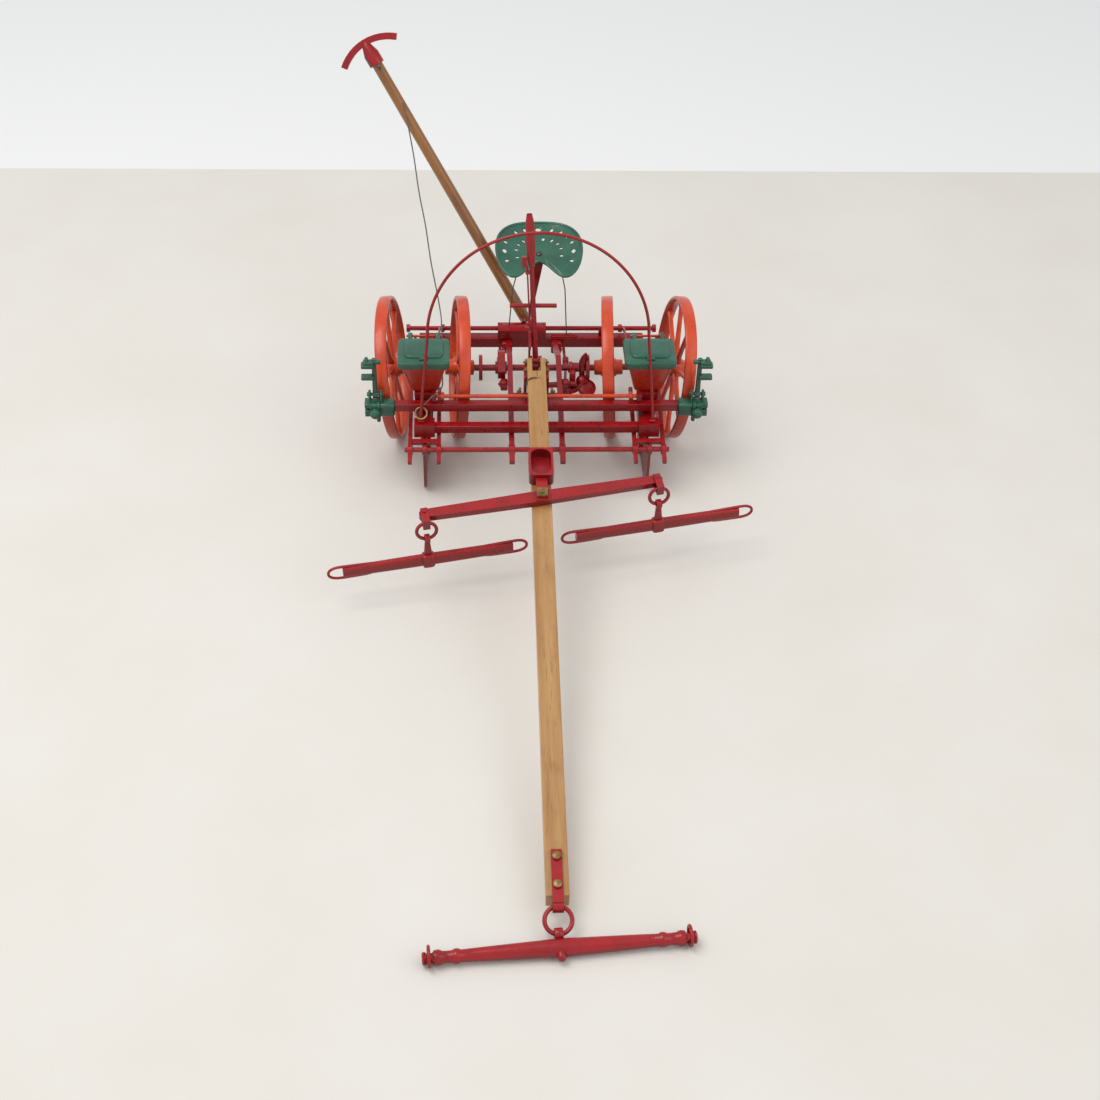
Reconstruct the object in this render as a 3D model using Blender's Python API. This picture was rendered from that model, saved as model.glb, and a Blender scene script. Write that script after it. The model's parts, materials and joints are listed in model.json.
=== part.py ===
"""Corn planter: a metal and wood display model of a two-row horse-drawn check-row planter.

Metres, +Z up, X across the rows, the tongue pointing to -Y.  Everything is laid out from the
main axle (y = 0) and the ground (z = 0); the last step moves the whole machine so that its
origin is the middle of its footprint, on the ground.
"""
import math

import bmesh
import bpy
import numpy as np
from mathutils import Matrix, Vector

# ---- driving dimensions ------------------------------------------------------------------
FIT = 0.0003                # gap left between pieces that touch
PLAY = 0.0003               # radial running clearance of pins, rods and axles

ROW_HALF = 0.0667           # half the distance between the two rows

WHEEL_R = 0.0438
TREAD_WIDTH = 0.0071
TREAD_WALL = 0.0024
HUB_R = 0.0057
HUB_HALF = 0.0088
SPOKES = 8
SPOKE_WIDTH = 0.0036
SPOKE_WALL = 0.0024
WHEEL_GAUGE = 0.0206        # from the row line to the middle of each wheel
CAMBER_INNER = math.radians(3.7)
CAMBER_OUTER = math.radians(6.5)
TOE = math.radians(3.2)
AXLE_R = 0.0020
COLLAR_R = 0.0080
COLLAR_WALL = 0.0022

RAIL_X = 0.0150             # side rails, either side of the tongue
RAIL_WIDTH = 0.0032
RAIL_WALL = 0.0030
RAIL_FRONT_Y = -0.0790
STRAP_X = 0.0085            # runner straps, either side of the row line
STRAP_WIDTH = 0.0024
RAIL_SLOPE = math.radians(12.6)

FRONT_ROD_R = 0.0015
FRONT_ROD_HALF = 0.0785
FRONT_ROD_Y = -0.0690
CROSSBAR = 0.0050
CROSSBAR_Y = -0.0570
CROSSBAR_HALF = 0.0715
CHECK_BAR = 0.0050
CHECK_BAR_Y = -0.0475
CHECK_BAR_Z = 0.0489
CHECK_BAR_HALF = 0.0870
FEED_SHAFT_R = 0.0012
FEED_SHAFT_Y = -0.0460
FEED_SHAFT_Z = 0.0548

BEAM = 0.0068
BEAM_Y = 0.0500
BEAM_Z = 0.0310
BEAM_HALF = 0.0720
REAR_ROD_R = 0.0015
REAR_ROD_Y = 0.0520
REAR_ROD_HALF = 0.0800

RUNNER_WALL = 0.0016
RUNNER_HEEL_Y = -0.0180
RUNNER_TOE_Y = -0.0605
RUNNER_TOE_R = 0.0100

HOPPER_Y = -0.0365
HOPPER_BASE_Z = 0.0560
HOPPER_TOP_Z = 0.0790
HOPPER_TOP = (0.0138, 0.0124)       # half width and half depth of the mouth
HOPPER_FOOT = (0.0084, 0.0062)
HOPPER_WALL = 0.0012
HOPPER_FLOOR = 0.0016
LID_HALF = (0.0152, 0.0136)
LID_WALL = 0.0014
LID_SKIRT = 0.0030
HINGE_R = 0.0008
SEED_PLATE_WALL = 0.0012
SEED_CELLS = 12

ARCH_ROD_R = 0.00090
ARCH_FOOT_X = 0.0685
ARCH_R = 0.0640
ARCH_SPRING_Z = 0.0990      # height at which the legs turn into the bow
ARCH_LEAN = math.radians(7.0)

TONGUE_WIDTH = 0.0110
TONGUE_DEPTH = 0.0095
TONGUE_LENGTH = 0.3634
TONGUE_SLOPE = math.radians(8.73)
TONGUE_REAR = (0.0, -0.0268, 0.0691)    # middle of its rear top edge
NOTCH_WIDTH = 0.0050
NOTCH_LENGTH = 0.0110

BOX_WIDTH = 0.0138
BOX_LENGTH = 0.0215
BOX_HEIGHT = 0.0080
BOX_WALL = 0.0013
BOX_AT = 0.0827             # from the tongue's rear end to the box

EVENER_AT = 0.1160          # from the tongue's rear end to the evener bolt
EVENER_HALF = 0.0660
EVENER_DEPTH = 0.0080
EVENER_HEIGHT = 0.0040
EVENER_YAW = math.radians(11.0)
EVENER_BOLT_R = 0.0018
CLEVIS_WIDTH = 0.0040
CLEVIS_WALL = 0.0010
CLEVIS_REACH = 0.0068       # from the clevis pin to the inside of its bend
RING_R = 0.0055             # to the middle of the wire
RING_WIRE = 0.0010
SINGLETREE_HALF = 0.0520
SINGLETREE_R = 0.0033

YOKE_HALF = 0.0620
YOKE_R = 0.0042
YOKE_YAW = math.radians(4.5)
YOKE_RING_R = 0.0064
YOKE_RING_WIRE = 0.0011

LEVER_PIVOT = (0.0, -0.0190, 0.0620)
LEVER_LENGTH = 0.0870
LEVER_LEAN = math.radians(12.0)
LEVER_TILT = math.radians(3.0)      # towards -X
LEVER_WIDTH = 0.0034
LEVER_DEPTH = 0.0044
LEVER_PIN_R = 0.0014

SEAT_CENTRE = (0.0040, 0.0580, 0.0905)
SEAT_HALF = (0.0272, 0.0235)
SEAT_WALL = 0.0012
SEAT_POST_WIDTH = 0.0055
BRACE_R = 0.0004

MARKER_PIVOT = (-0.0050, 0.0620, 0.0420)
MARKER_TOP = (-0.0985, 0.1275, 0.1880)
MARKER_POLE_R = 0.00365
MARKER_PIN_R = 0.0015
SHOE_R = 0.0333
SHOE_HALF = 0.0208
SHOE_BAR = 0.0040

ROPE_R = 0.00040

# ---- what follows from them --------------------------------------------------------------
AXLE_Z = WHEEL_R * math.cos(CAMBER_INNER) + TREAD_WIDTH / 2 * math.sin(CAMBER_INNER)
UP = Vector((0, 0, 1))
RIGHT = Vector((1, 0, 0))
BACK = Vector((0, 1, 0))


def rail_z(y):
    """Height of the middle of the straight front stretch of the rails at y."""
    over_axle = AXLE_Z + AXLE_R + FIT + RAIL_WALL / 2 / math.cos(RAIL_SLOPE)
    return over_axle + y * math.tan(RAIL_SLOPE)


RAIL_HALF_Z = RAIL_WALL / 2 / math.cos(RAIL_SLOPE)
FRONT_ROD_Z = rail_z(FRONT_ROD_Y)
CROSSBAR_Z = rail_z(CROSSBAR_Y + CROSSBAR / 2) + RAIL_HALF_Z + FIT + CROSSBAR / 2
CLAMP_HALF = (0.0061, CROSSBAR / 2 + FIT + 0.0014)      # half width, and half height and depth
CLAMP_TOP = CROSSBAR_Z + CLAMP_HALF[1]
REAR_ROD_Z = BEAM_Z + BEAM / 2 + FIT + REAR_ROD_R + 0.0025


# ---- shaping tools -----------------------------------------------------------------------
def skin(points, faces):
    """A mesh over the points whose faces all point outwards."""
    mesh = bpy.data.meshes.new("stock")
    mesh.from_pydata([tuple(p) for p in points], [], faces)
    work = bmesh.new()
    work.from_mesh(mesh)
    bmesh.ops.recalc_face_normals(work, faces=work.faces)
    work.to_mesh(mesh)
    work.free()
    return mesh


def loft(loops, ring=False):
    """A closed skin from loop to loop; a ring joins the last loop to the first."""
    count, sides = len(loops), len(loops[0])
    points = np.vstack([np.asarray(loop, float) for loop in loops])
    faces = []
    for i in range(count if ring else count - 1):
        j = (i + 1) % count
        for k in range(sides):
            m = (k + 1) % sides
            faces.append((i * sides + k, i * sides + m, j * sides + m, j * sides + k))
    if not ring:
        faces.append(tuple(range(sides)))
        faces.append(tuple(range((count - 1) * sides, count * sides)))
    return skin(points, faces)


def box(low, high):
    """A block between two opposite corners."""
    (x0, y0, z0), (x1, y1, z1) = low, high
    return loft([[(x0, y0, z), (x1, y0, z), (x1, y1, z), (x0, y1, z)] for z in (z0, z1)])


def block(centre, size):
    """A block about its centre."""
    half = [side / 2 for side in size]
    return box([c - h for c, h in zip(centre, half)], [c + h for c, h in zip(centre, half)])


def plate_x(outline, x0, x1):
    """An outline in (y, z), extruded across from x0 to x1."""
    return loft([[(x, y, z) for y, z in outline] for x in (x0, x1)])


def plate_y(outline, y0, y1):
    """An outline in (x, z), extruded from y0 to y1."""
    return loft([[(x, y, z) for x, z in outline] for y in (y0, y1)])


def plate_z(outline, z0, z1):
    """An outline in (x, y), extruded upwards from z0 to z1."""
    return loft([[(x, y, z) for x, y in outline] for z in (z0, z1)])


def band(path, wall):
    """The outline of a strap of even thickness along an open path of 2-D points."""
    path = [Vector(p) for p in path]
    left, right = [], []
    for i, here in enumerate(path):
        before = (here - path[i - 1]).normalized() if i else None
        after = (path[i + 1] - here).normalized() if i + 1 < len(path) else None
        along = ((before or after) + (after or before)).normalized()
        side = Vector((-along.y, along.x))
        reach = wall / 2 / max(0.3, abs(along.dot(after or before)))
        left.append(here + side * reach)
        right.append(here - side * reach)
    return left + right[::-1]


def circle(radius, sides, start=0.0):
    """Points round a circle, the first at the start angle."""
    turns = start + np.arange(sides) * 2 * math.pi / sides
    return np.stack([radius * np.cos(turns), radius * np.sin(turns)], axis=1)


def arc(centre, radius, start, end, steps):
    """Points along an arc of a circle in a plane, angles in degrees."""
    turns = np.radians(np.linspace(start, end, steps + 1))
    return [(centre[0] + radius * math.cos(t), centre[1] + radius * math.sin(t)) for t in turns]


def stand(origin, axis):
    """The placing that turns local Z to the axis and moves local zero to the origin."""
    return Matrix.Translation(Vector(origin)) @ Vector(axis).to_track_quat('Z', 'Y').to_matrix().to_4x4()


def turned(profile, origin, axis, sides=16, bored=False):
    """A turned piece: (distance along the axis, radius) pairs, or a closed ring of them."""
    place = stand(origin, axis)
    loops = []
    for along, radius in profile:
        loops.append([place @ Vector((x, y, along)) for x, y in circle(radius, sides)])
    return loft(loops, ring=bored)


def pin(start, end, radius, sides=12):
    """A plain round bar between two points."""
    start, end = Vector(start), Vector(end)
    return turned([(0.0, radius), ((end - start).length, radius)], start, end - start, sides)


def rod(points, radius, sides=10, ring=False):
    """A bent round bar along the points; a ring closes on itself."""
    points = [Vector(p) for p in points]
    count = len(points)
    loops, side = [], None
    for i, here in enumerate(points):
        before = points[i - 1] if i or ring else here
        after = points[(i + 1) % count] if i + 1 < count or ring else here
        along = (after - before).normalized()
        if side is None:
            side = along.orthogonal().normalized()
        side = (side - along * side.dot(along)).normalized()
        other = along.cross(side)
        loops.append([here + side * a + other * b for a, b in circle(radius, sides)])
    return loft(loops, ring=ring)


def hoop(centre, normal, radius, wire, steps=24, sides=8):
    """A round wire ring."""
    place = stand(centre, normal)
    loops = []
    for t in np.arange(steps) * 2 * math.pi / steps:
        out = Vector((math.cos(t), math.sin(t), 0.0))
        loops.append([place @ (out * (radius + wire * math.cos(a)) + UP * (wire * math.sin(a)))
                      for a in np.arange(sides) * 2 * math.pi / sides])
    return loft(loops, ring=True)


def placed(mesh, matrix):
    """The mesh moved by a placing."""
    mesh.transform(matrix)
    return mesh


def fuse(solids, cuts=()):
    """One closed mesh: the solids joined, less the cuts."""
    guides = []

    def guide(mesh):
        item = bpy.data.objects.new("guide", mesh)
        bpy.context.scene.collection.objects.link(item)
        item.hide_render = True
        item.display_type = 'WIRE'
        guides.append(item)
        return item

    base = guide(solids[0])
    for operation, meshes in (('UNION', solids[1:]), ('DIFFERENCE', cuts)):
        for mesh in meshes:
            step = base.modifiers.new(operation.title(), 'BOOLEAN')
            step.operation = operation
            step.solver = 'EXACT'
            step.object = guide(mesh)
    evaluated = base.evaluated_get(bpy.context.evaluated_depsgraph_get())
    result = bpy.data.meshes.new_from_object(evaluated)
    for item in guides:
        bpy.data.objects.remove(item)
    work = bmesh.new()
    work.from_mesh(result)
    bmesh.ops.remove_doubles(work, verts=work.verts, dist=1e-6)
    bmesh.ops.dissolve_limit(work, angle_limit=math.radians(0.05), verts=work.verts, edges=work.edges)
    work.to_mesh(result)
    work.free()
    return result


def paint(name, colour, roughness, metallic=0.0):
    """A plain Principled material."""
    material = bpy.data.materials.new(name)
    material.use_nodes = True
    shader = material.node_tree.nodes["Principled BSDF"]
    shader.inputs["Base Color"].default_value = (*colour, 1.0)
    shader.inputs["Roughness"].default_value = roughness
    shader.inputs["Metallic"].default_value = metallic
    return material


def add(name, mesh, material, pivot=(0.0, 0.0, 0.0)):
    """Put a piece in the scene with its origin on its pivot."""
    mesh.name = name
    mesh.transform(Matrix.Translation(-Vector(pivot)))
    mesh.materials.clear()
    mesh.materials.append(material)
    mesh.shade_smooth()
    mesh.set_sharp_from_angle(angle=math.radians(35))
    item = bpy.data.objects.new(name, mesh)
    item.location = pivot
    bpy.context.scene.collection.objects.link(item)
    return item


# ---- frame -------------------------------------------------------------------------------
def wheel_place(side, outer):
    """Centre and axle direction of one wheel; outer is +1 for the wheel away from the tongue."""
    camber = CAMBER_OUTER if outer > 0 else CAMBER_INNER
    axis = Vector((side * outer, math.tan(TOE), -math.tan(camber))).normalized()
    centre = Vector((side * (ROW_HALF + outer * WHEEL_GAUGE), 0.0, AXLE_Z))
    return centre, axis


def wheel_mesh(centre, axis):
    """Rim, hub and flat spokes in one casting, bored for the axle."""
    half, inner = TREAD_WIDTH / 2, WHEEL_R - TREAD_WALL
    rim = turned([(-half, WHEEL_R), (half, WHEEL_R), (half, inner), (-half, inner)],
                 (0, 0, 0), UP, 36, bored=True)
    bore = AXLE_R + PLAY
    hub = turned([(-HUB_HALF, HUB_R - 0.001), (-half, HUB_R), (half, HUB_R), (HUB_HALF, HUB_R - 0.001),
                  (HUB_HALF, bore), (-HUB_HALF, bore)], (0, 0, 0), UP, 14, bored=True)
    spokes = []
    for k in range(SPOKES):
        spoke = block(((HUB_R + inner) / 2, 0, 0), (inner - HUB_R + 0.0018, SPOKE_WALL, SPOKE_WIDTH))
        spokes.append(placed(spoke, Matrix.Rotation((k + 0.5) * 2 * math.pi / SPOKES, 4, 'Z')))
    return placed(fuse([rim, hub] + spokes), stand(centre, axis))


def build_wheels(paints):
    """Four wheels, a pair astride each row, wider apart at the top and at the front."""
    for name, side in (("left", -1), ("right", 1)):
        for place, outer in (("inner", -1), ("outer", 1)):
            centre, axis = wheel_place(side, outer)
            add(f"wheel_{name}_{place}", wheel_mesh(centre, axis), paints["wheel"], centre)


def build_main_axle(paints):
    """One bent bar through the four hubs, with a collar inside each pair and end washers."""
    path = []
    for side in (-1, 1):
        stubs = []
        for outer in (-1, 1):
            centre, axis = wheel_place(side, outer)
            reach = HUB_HALF + 0.0006
            ends = [centre + axis * reach, centre - axis * reach]
            stubs += ends if outer < 0 else ends[::-1]
        path += stubs if side > 0 else stubs[::-1]
    ends = [path[0] + (path[0] - path[1]).normalized() * 0.003,
            path[-1] + (path[-1] - path[-2]).normalized() * 0.003]
    bar = rod([ends[0]] + path + [ends[1]], AXLE_R, 12)
    extras = []
    for side in (-1, 1):
        inner = side * (ROW_HALF - WHEEL_GAUGE - HUB_HALF - COLLAR_WALL - 0.001)
        low, high = sorted((inner, inner - side * COLLAR_WALL))
        middle = path[3 if side < 0 else 4]
        extras.append(turned([(0, COLLAR_R), (high - low, COLLAR_R)], (low, middle.y, middle.z), RIGHT, 24))
        end = ends[0] if side < 0 else ends[1]
        beyond = (end - (path[0] if side < 0 else path[-1])).normalized()
        extras.append(turned([(-0.0018, 0.0034), (-0.0003, 0.0034)], end, beyond, 12))
    add("main_axle", fuse([bar] + extras), paints["red"])
    return path[3]


def rail_outline(y_end, tail):
    """Side view of a rail: the straight front stretch, then the tail points."""
    path = [(RAIL_FRONT_Y, rail_z(RAIL_FRONT_Y)), (y_end, rail_z(y_end))] + tail
    return band(path, RAIL_WALL)


def front_eye(x, width):
    """The round eye that holds the front rod."""
    return pin((x - width / 2, FRONT_ROD_Y, FRONT_ROD_Z), (x + width / 2, FRONT_ROD_Y, FRONT_ROD_Z),
               0.0031, 12)


def front_rod_hole():
    """The clearance hole of the front rod, right across the machine."""
    return pin((-0.1, FRONT_ROD_Y, FRONT_ROD_Z), (0.1, FRONT_ROD_Y, FRONT_ROD_Z), FRONT_ROD_R + PLAY, 12)


def build_side_rails(paints):
    """Two rails from the front rod over the axle and down to the rear beam's front face."""
    face = BEAM_Y - BEAM / 2 - FIT
    tail = [(face - 0.0080, BEAM_Z + 0.0020), (face, BEAM_Z + 0.0012)]
    for name, side in (("left", -1), ("right", 1)):
        x = side * RAIL_X
        bar = plate_x(rail_outline(0.004, tail), x - RAIL_WIDTH / 2, x + RAIL_WIDTH / 2)
        mesh = fuse([bar, front_eye(x, RAIL_WIDTH + 0.0006)], [front_rod_hole()])
        add(f"side_rail_{name}", mesh, paints["red"])


def build_cross_bars(paints):
    """Front rod, front crossbar, check bar, rear beam and rear rod."""
    rod_ends = ((-FRONT_ROD_HALF, FRONT_ROD_Y, FRONT_ROD_Z), (FRONT_ROD_HALF, FRONT_ROD_Y, FRONT_ROD_Z))
    add("front_rod", pin(*rod_ends, FRONT_ROD_R, 12), paints["red"])
    bar = block((0, CROSSBAR_Y, CROSSBAR_Z), (2 * CROSSBAR_HALF, CROSSBAR, CROSSBAR))
    add("front_crossbar", bar, paints["red"])
    bar = block((0, CHECK_BAR_Y, CHECK_BAR_Z), (2 * CHECK_BAR_HALF, CHECK_BAR, CHECK_BAR))
    add("check_bar", bar, paints["red"])
    beam = block((0, BEAM_Y, BEAM_Z), (2 * BEAM_HALF, BEAM, BEAM))
    add("rear_beam", beam, paints["red"])
    bar = pin((-REAR_ROD_HALF, REAR_ROD_Y, REAR_ROD_Z), (REAR_ROD_HALF, REAR_ROD_Y, REAR_ROD_Z),
              REAR_ROD_R, 8)
    collars = [pin((x - 0.0012, REAR_ROD_Y, REAR_ROD_Z), (x + 0.0012, REAR_ROD_Y, REAR_ROD_Z), 0.0026, 10)
               for x in (-0.0790, -0.0570, 0.0570, 0.0790)]
    top = BEAM_Z + BEAM / 2 + FIT
    arms = [plate_x(band([(REAR_ROD_Y, REAR_ROD_Z), (0.0400, 0.0440), (0.0120, 0.0450)], 0.0020),
                    x - 0.0006, x + 0.0006)
            for x in (-0.0590, 0.0590)]
    feet = [block((x, REAR_ROD_Y, (top + REAR_ROD_Z) / 2), (0.0036, 0.0048, REAR_ROD_Z - top))
            for x in (-0.0450, 0.0450)]
    add("rear_rod", fuse([bar] + collars + arms + feet), paints["red"])


def build_rear_brackets(paints):
    """The marker and seat bracket, clamped round the rear rod on top of the beam."""
    hole = pin((-0.1, REAR_ROD_Y, REAR_ROD_Z), (0.1, REAR_ROD_Y, REAR_ROD_Z), REAR_ROD_R + PLAY, 12)
    top = BEAM_Z + BEAM / 2 + FIT
    x0, x1 = MARKER_PIVOT[0] - 0.0165, MARKER_PIVOT[0] + 0.0140
    outline = [(BEAM_Y - 0.0042, top), (BEAM_Y + 0.0042, top), (BEAM_Y + 0.0042, REAR_ROD_Z + 0.0030),
               (BEAM_Y - 0.0005, REAR_ROD_Z + 0.0036), (BEAM_Y - 0.0042, REAR_ROD_Z + 0.0020)]
    body = plate_x(outline, x0, x1)
    lug_x = (x0 + 0.0011, x1 - 0.0011)
    lugs = [pin((x - 0.0013, REAR_ROD_Y, REAR_ROD_Z), (x + 0.0013, REAR_ROD_Y, REAR_ROD_Z), 0.0038, 16)
            for x in lug_x]
    px, py, pz = MARKER_PIVOT
    stub = pin((px, BEAM_Y + 0.0030, pz), (px, py + MARKER_POLE_R + 0.0030, pz), MARKER_PIN_R, 12)
    head = pin((px, py + MARKER_POLE_R + 0.0016, pz), (px, py + MARKER_POLE_R + 0.0030, pz), 0.0027, 12)
    add("marker_bracket", fuse([body] + lugs + [stub, head], [hole]), paints["red"])


# ---- row units ---------------------------------------------------------------------------
def build_row_units(paints):
    """Runner, boot, runner straps, hopper, lid and seed plate of each row."""
    for name, side in (("left", -1), ("right", 1)):
        row = side * ROW_HALF
        build_runner(name, row, paints)
        build_boot(name, row, side, paints)
        build_runner_straps(name, row, paints)
        build_hopper(name, row, paints)


def build_runner_straps(name, row, paints):
    """Two straps from the front rod back past the boot, tied to each other ahead of it."""
    def side_view(y0, y1, wall=RAIL_WALL):
        return band([(y0, rail_z(y0)), (y1, rail_z(y1))], wall)

    bars, eyes = [], []
    for x in (row - STRAP_X, row + STRAP_X):
        bars.append(plate_x(side_view(RAIL_FRONT_Y, -0.0215), x - STRAP_WIDTH / 2, x + STRAP_WIDTH / 2))
        eyes.append(front_eye(x, STRAP_WIDTH + 0.0006))
    tie = plate_x(side_view(-0.0645, -0.0615, 0.8 * RAIL_WALL), row - STRAP_X, row + STRAP_X)
    add(f"runner_straps_{name}", fuse(bars + eyes + [tie], [front_rod_hole()]), paints["red"])


def build_runner(name, row, paints):
    """A deep thin blade: flat sole, rounded toe, its eye on the front rod, cut away for the boot."""
    eye = (FRONT_ROD_Y, FRONT_ROD_Z)
    toe = arc((RUNNER_TOE_Y, RUNNER_TOE_R), RUNNER_TOE_R, 270, 185, 8)
    outline = [(RUNNER_HEEL_Y, 0.0), *toe, (eye[0] - 0.0026, eye[1] - 0.0010), (eye[0] + 0.0024, eye[1] - 0.0004),
               (-0.0655, 0.0298), (-0.0470, 0.0298), (-0.0448, 0.0220), (-0.0405, 0.0110),
               (-0.0395, 0.0068), (RUNNER_HEEL_Y, 0.0068)]
    blade = plate_x(outline, row - RUNNER_WALL / 2, row + RUNNER_WALL / 2)
    mesh = fuse([blade, front_eye(row, RUNNER_WALL + 0.0012)], [front_rod_hole()])
    add(f"runner_{name}", mesh, paints["dark_red"])


def build_boot(name, row, side, paints):
    """The casting that joins hopper and runner, clamped on the crossbar and bearing the feed shaft."""
    loops = []
    for z, y, half_x, half_y in ((0.0020, -0.0270, 0.0022, 0.0062), (0.0180, -0.0310, 0.0030, 0.0072),
                                 (0.0320, -0.0350, 0.0046, 0.0085), (0.0440, -0.0365, 0.0052, 0.0078),
                                 (HOPPER_BASE_Z - FIT, HOPPER_Y, 0.0060, 0.0078)):
        loops.append([(row - half_x, y - half_y, z), (row + half_x, y - half_y, z),
                      (row + half_x, y + half_y, z), (row - half_x, y + half_y, z)])
    clamp = box((row - CLAMP_HALF[0], CROSSBAR_Y - CLAMP_HALF[1], CROSSBAR_Z - CLAMP_HALF[1]),
                (row + CLAMP_HALF[0], CROSSBAR_Y + CLAMP_HALF[1], CLAMP_TOP))
    arm = box((row - 0.0030, CROSSBAR_Y, CROSSBAR_Z - 0.0030),
              (row + 0.0030, HOPPER_Y, CROSSBAR_Z + 0.0030))
    inner = row - side * 0.0058
    lug = box((inner - 0.0014, FEED_SHAFT_Y - 0.0024, FEED_SHAFT_Z - 0.0024),
              (inner + 0.0014, HOPPER_Y - 0.0068, FEED_SHAFT_Z + 0.0024))
    bar_hole = block((row, CROSSBAR_Y, CROSSBAR_Z), (0.03, CROSSBAR + 2 * FIT, CROSSBAR + 2 * FIT))
    shaft_hole = pin((row - 0.02, FEED_SHAFT_Y, FEED_SHAFT_Z), (row + 0.02, FEED_SHAFT_Y, FEED_SHAFT_Z),
                     FEED_SHAFT_R + PLAY, 12)
    slot = block((row, RUNNER_HEEL_Y - 0.0070, 0.0), (RUNNER_WALL + 2 * FIT, 0.04, 2 * (0.0068 + FIT)))
    add(f"boot_{name}", fuse([loft(loops), clamp, arm, lug], [bar_hole, shaft_hole, slot]), paints["red"])


def four_sides(x, y, half, z):
    """A rectangle at height z."""
    return [(x - half[0], y - half[1], z), (x + half[0], y - half[1], z),
            (x + half[0], y + half[1], z), (x - half[0], y + half[1], z)]


def build_hopper(name, row, paints):
    """An open funnel with a floor, its lid hinged at the rear, and the seed plate inside."""
    y, base, top = HOPPER_Y, HOPPER_BASE_Z, HOPPER_TOP_Z
    outer = loft([four_sides(row, y, HOPPER_FOOT, base), four_sides(row, y, HOPPER_TOP, top)])
    floor = base + HOPPER_FLOOR
    slope = [(HOPPER_TOP[i] - HOPPER_FOOT[i]) / (top - base) for i in (0, 1)]
    inside = [[HOPPER_FOOT[i] + slope[i] * (z - base) - HOPPER_WALL for i in (0, 1)]
              for z in (floor, top + 0.001)]
    cavity = loft([four_sides(row, y, inside[0], floor), four_sides(row, y, inside[1], top + 0.001)])
    hinge = (y + LID_HALF[1] + 0.0022, top + 0.0016)
    lugs = []
    for x in (row - 0.0052, row + 0.0052):
        path = [(y + HOPPER_TOP[1] - 0.0012, top - 0.0030), (hinge[0], hinge[1] - 0.0016), hinge]
        lugs.append(plate_x(band(path, 0.0018), x - 0.0008, x + 0.0008))
    rod_ = pin((row - 0.0105, *hinge), (row + 0.0105, *hinge), HINGE_R, 10)
    drop = pin((row, y, base - 0.001), (row, y, floor + 0.001), 0.0012, 12)
    add(f"hopper_{name}", fuse([outer, rod_] + lugs, [cavity, drop]), paints["hopper"])
    build_lid(name, row, hinge, paints)
    build_seed_plate(name, row, floor, paints)


def build_lid(name, row, hinge, paints):
    """A pressed lid: skirt round three sides of the mouth, raised panel, two hinge eyes."""
    y, low = HOPPER_Y, HOPPER_TOP_Z - LID_SKIRT + FIT
    high = HOPPER_TOP_Z + FIT + LID_WALL
    shell = box((row - LID_HALF[0], y - LID_HALF[1], low), (row + LID_HALF[0], y + LID_HALF[1], high))
    hollow = box((row - HOPPER_TOP[0] - FIT, y - HOPPER_TOP[1] - FIT, low - 0.001),
                 (row + HOPPER_TOP[0] + FIT, y + LID_HALF[1] + 0.001, HOPPER_TOP_Z + FIT))
    panel = loft([four_sides(row, y, (0.0118, 0.0098), high - 0.0004),
                  four_sides(row, y, (0.0106, 0.0086), high + 0.0012)])
    eyes, bores = [], []
    for x in (row - 0.0082, row + 0.0082):
        eyes.append(pin((x - 0.0013, *hinge), (x + 0.0013, *hinge), HINGE_R + PLAY + 0.0009, 14))
        eyes.append(box((x - 0.0013, y + LID_HALF[1] - 0.0030, high - 0.0010),
                        (x + 0.0013, hinge[0], high + 0.0006)))
        bores.append(pin((x - 0.002, *hinge), (x + 0.002, *hinge), HINGE_R + PLAY, 10))
    mesh = fuse([shell, panel] + eyes, [hollow] + bores)
    add(f"lid_{name}", mesh, paints["green"], (row, *hinge))


def build_seed_plate(name, row, floor, paints):
    """A flat plate with seed cells round its edge, turning on the hopper's floor."""
    radius = HOPPER_FOOT[1] - HOPPER_WALL - PLAY
    outline = []
    for k in range(SEED_CELLS):
        for share, reach in ((0.0, 1.0), (0.55, 1.0), (0.65, 0.84), (0.90, 0.84)):
            turn = (k + share) * 2 * math.pi / SEED_CELLS
            outline.append((row + radius * reach * math.cos(turn),
                            HOPPER_Y + radius * reach * math.sin(turn)))
    low = floor + FIT
    mesh = plate_z(outline, low, low + SEED_PLATE_WALL)
    add(f"seed_plate_{name}", mesh, paints["iron"], (row, HOPPER_Y, low))


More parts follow.
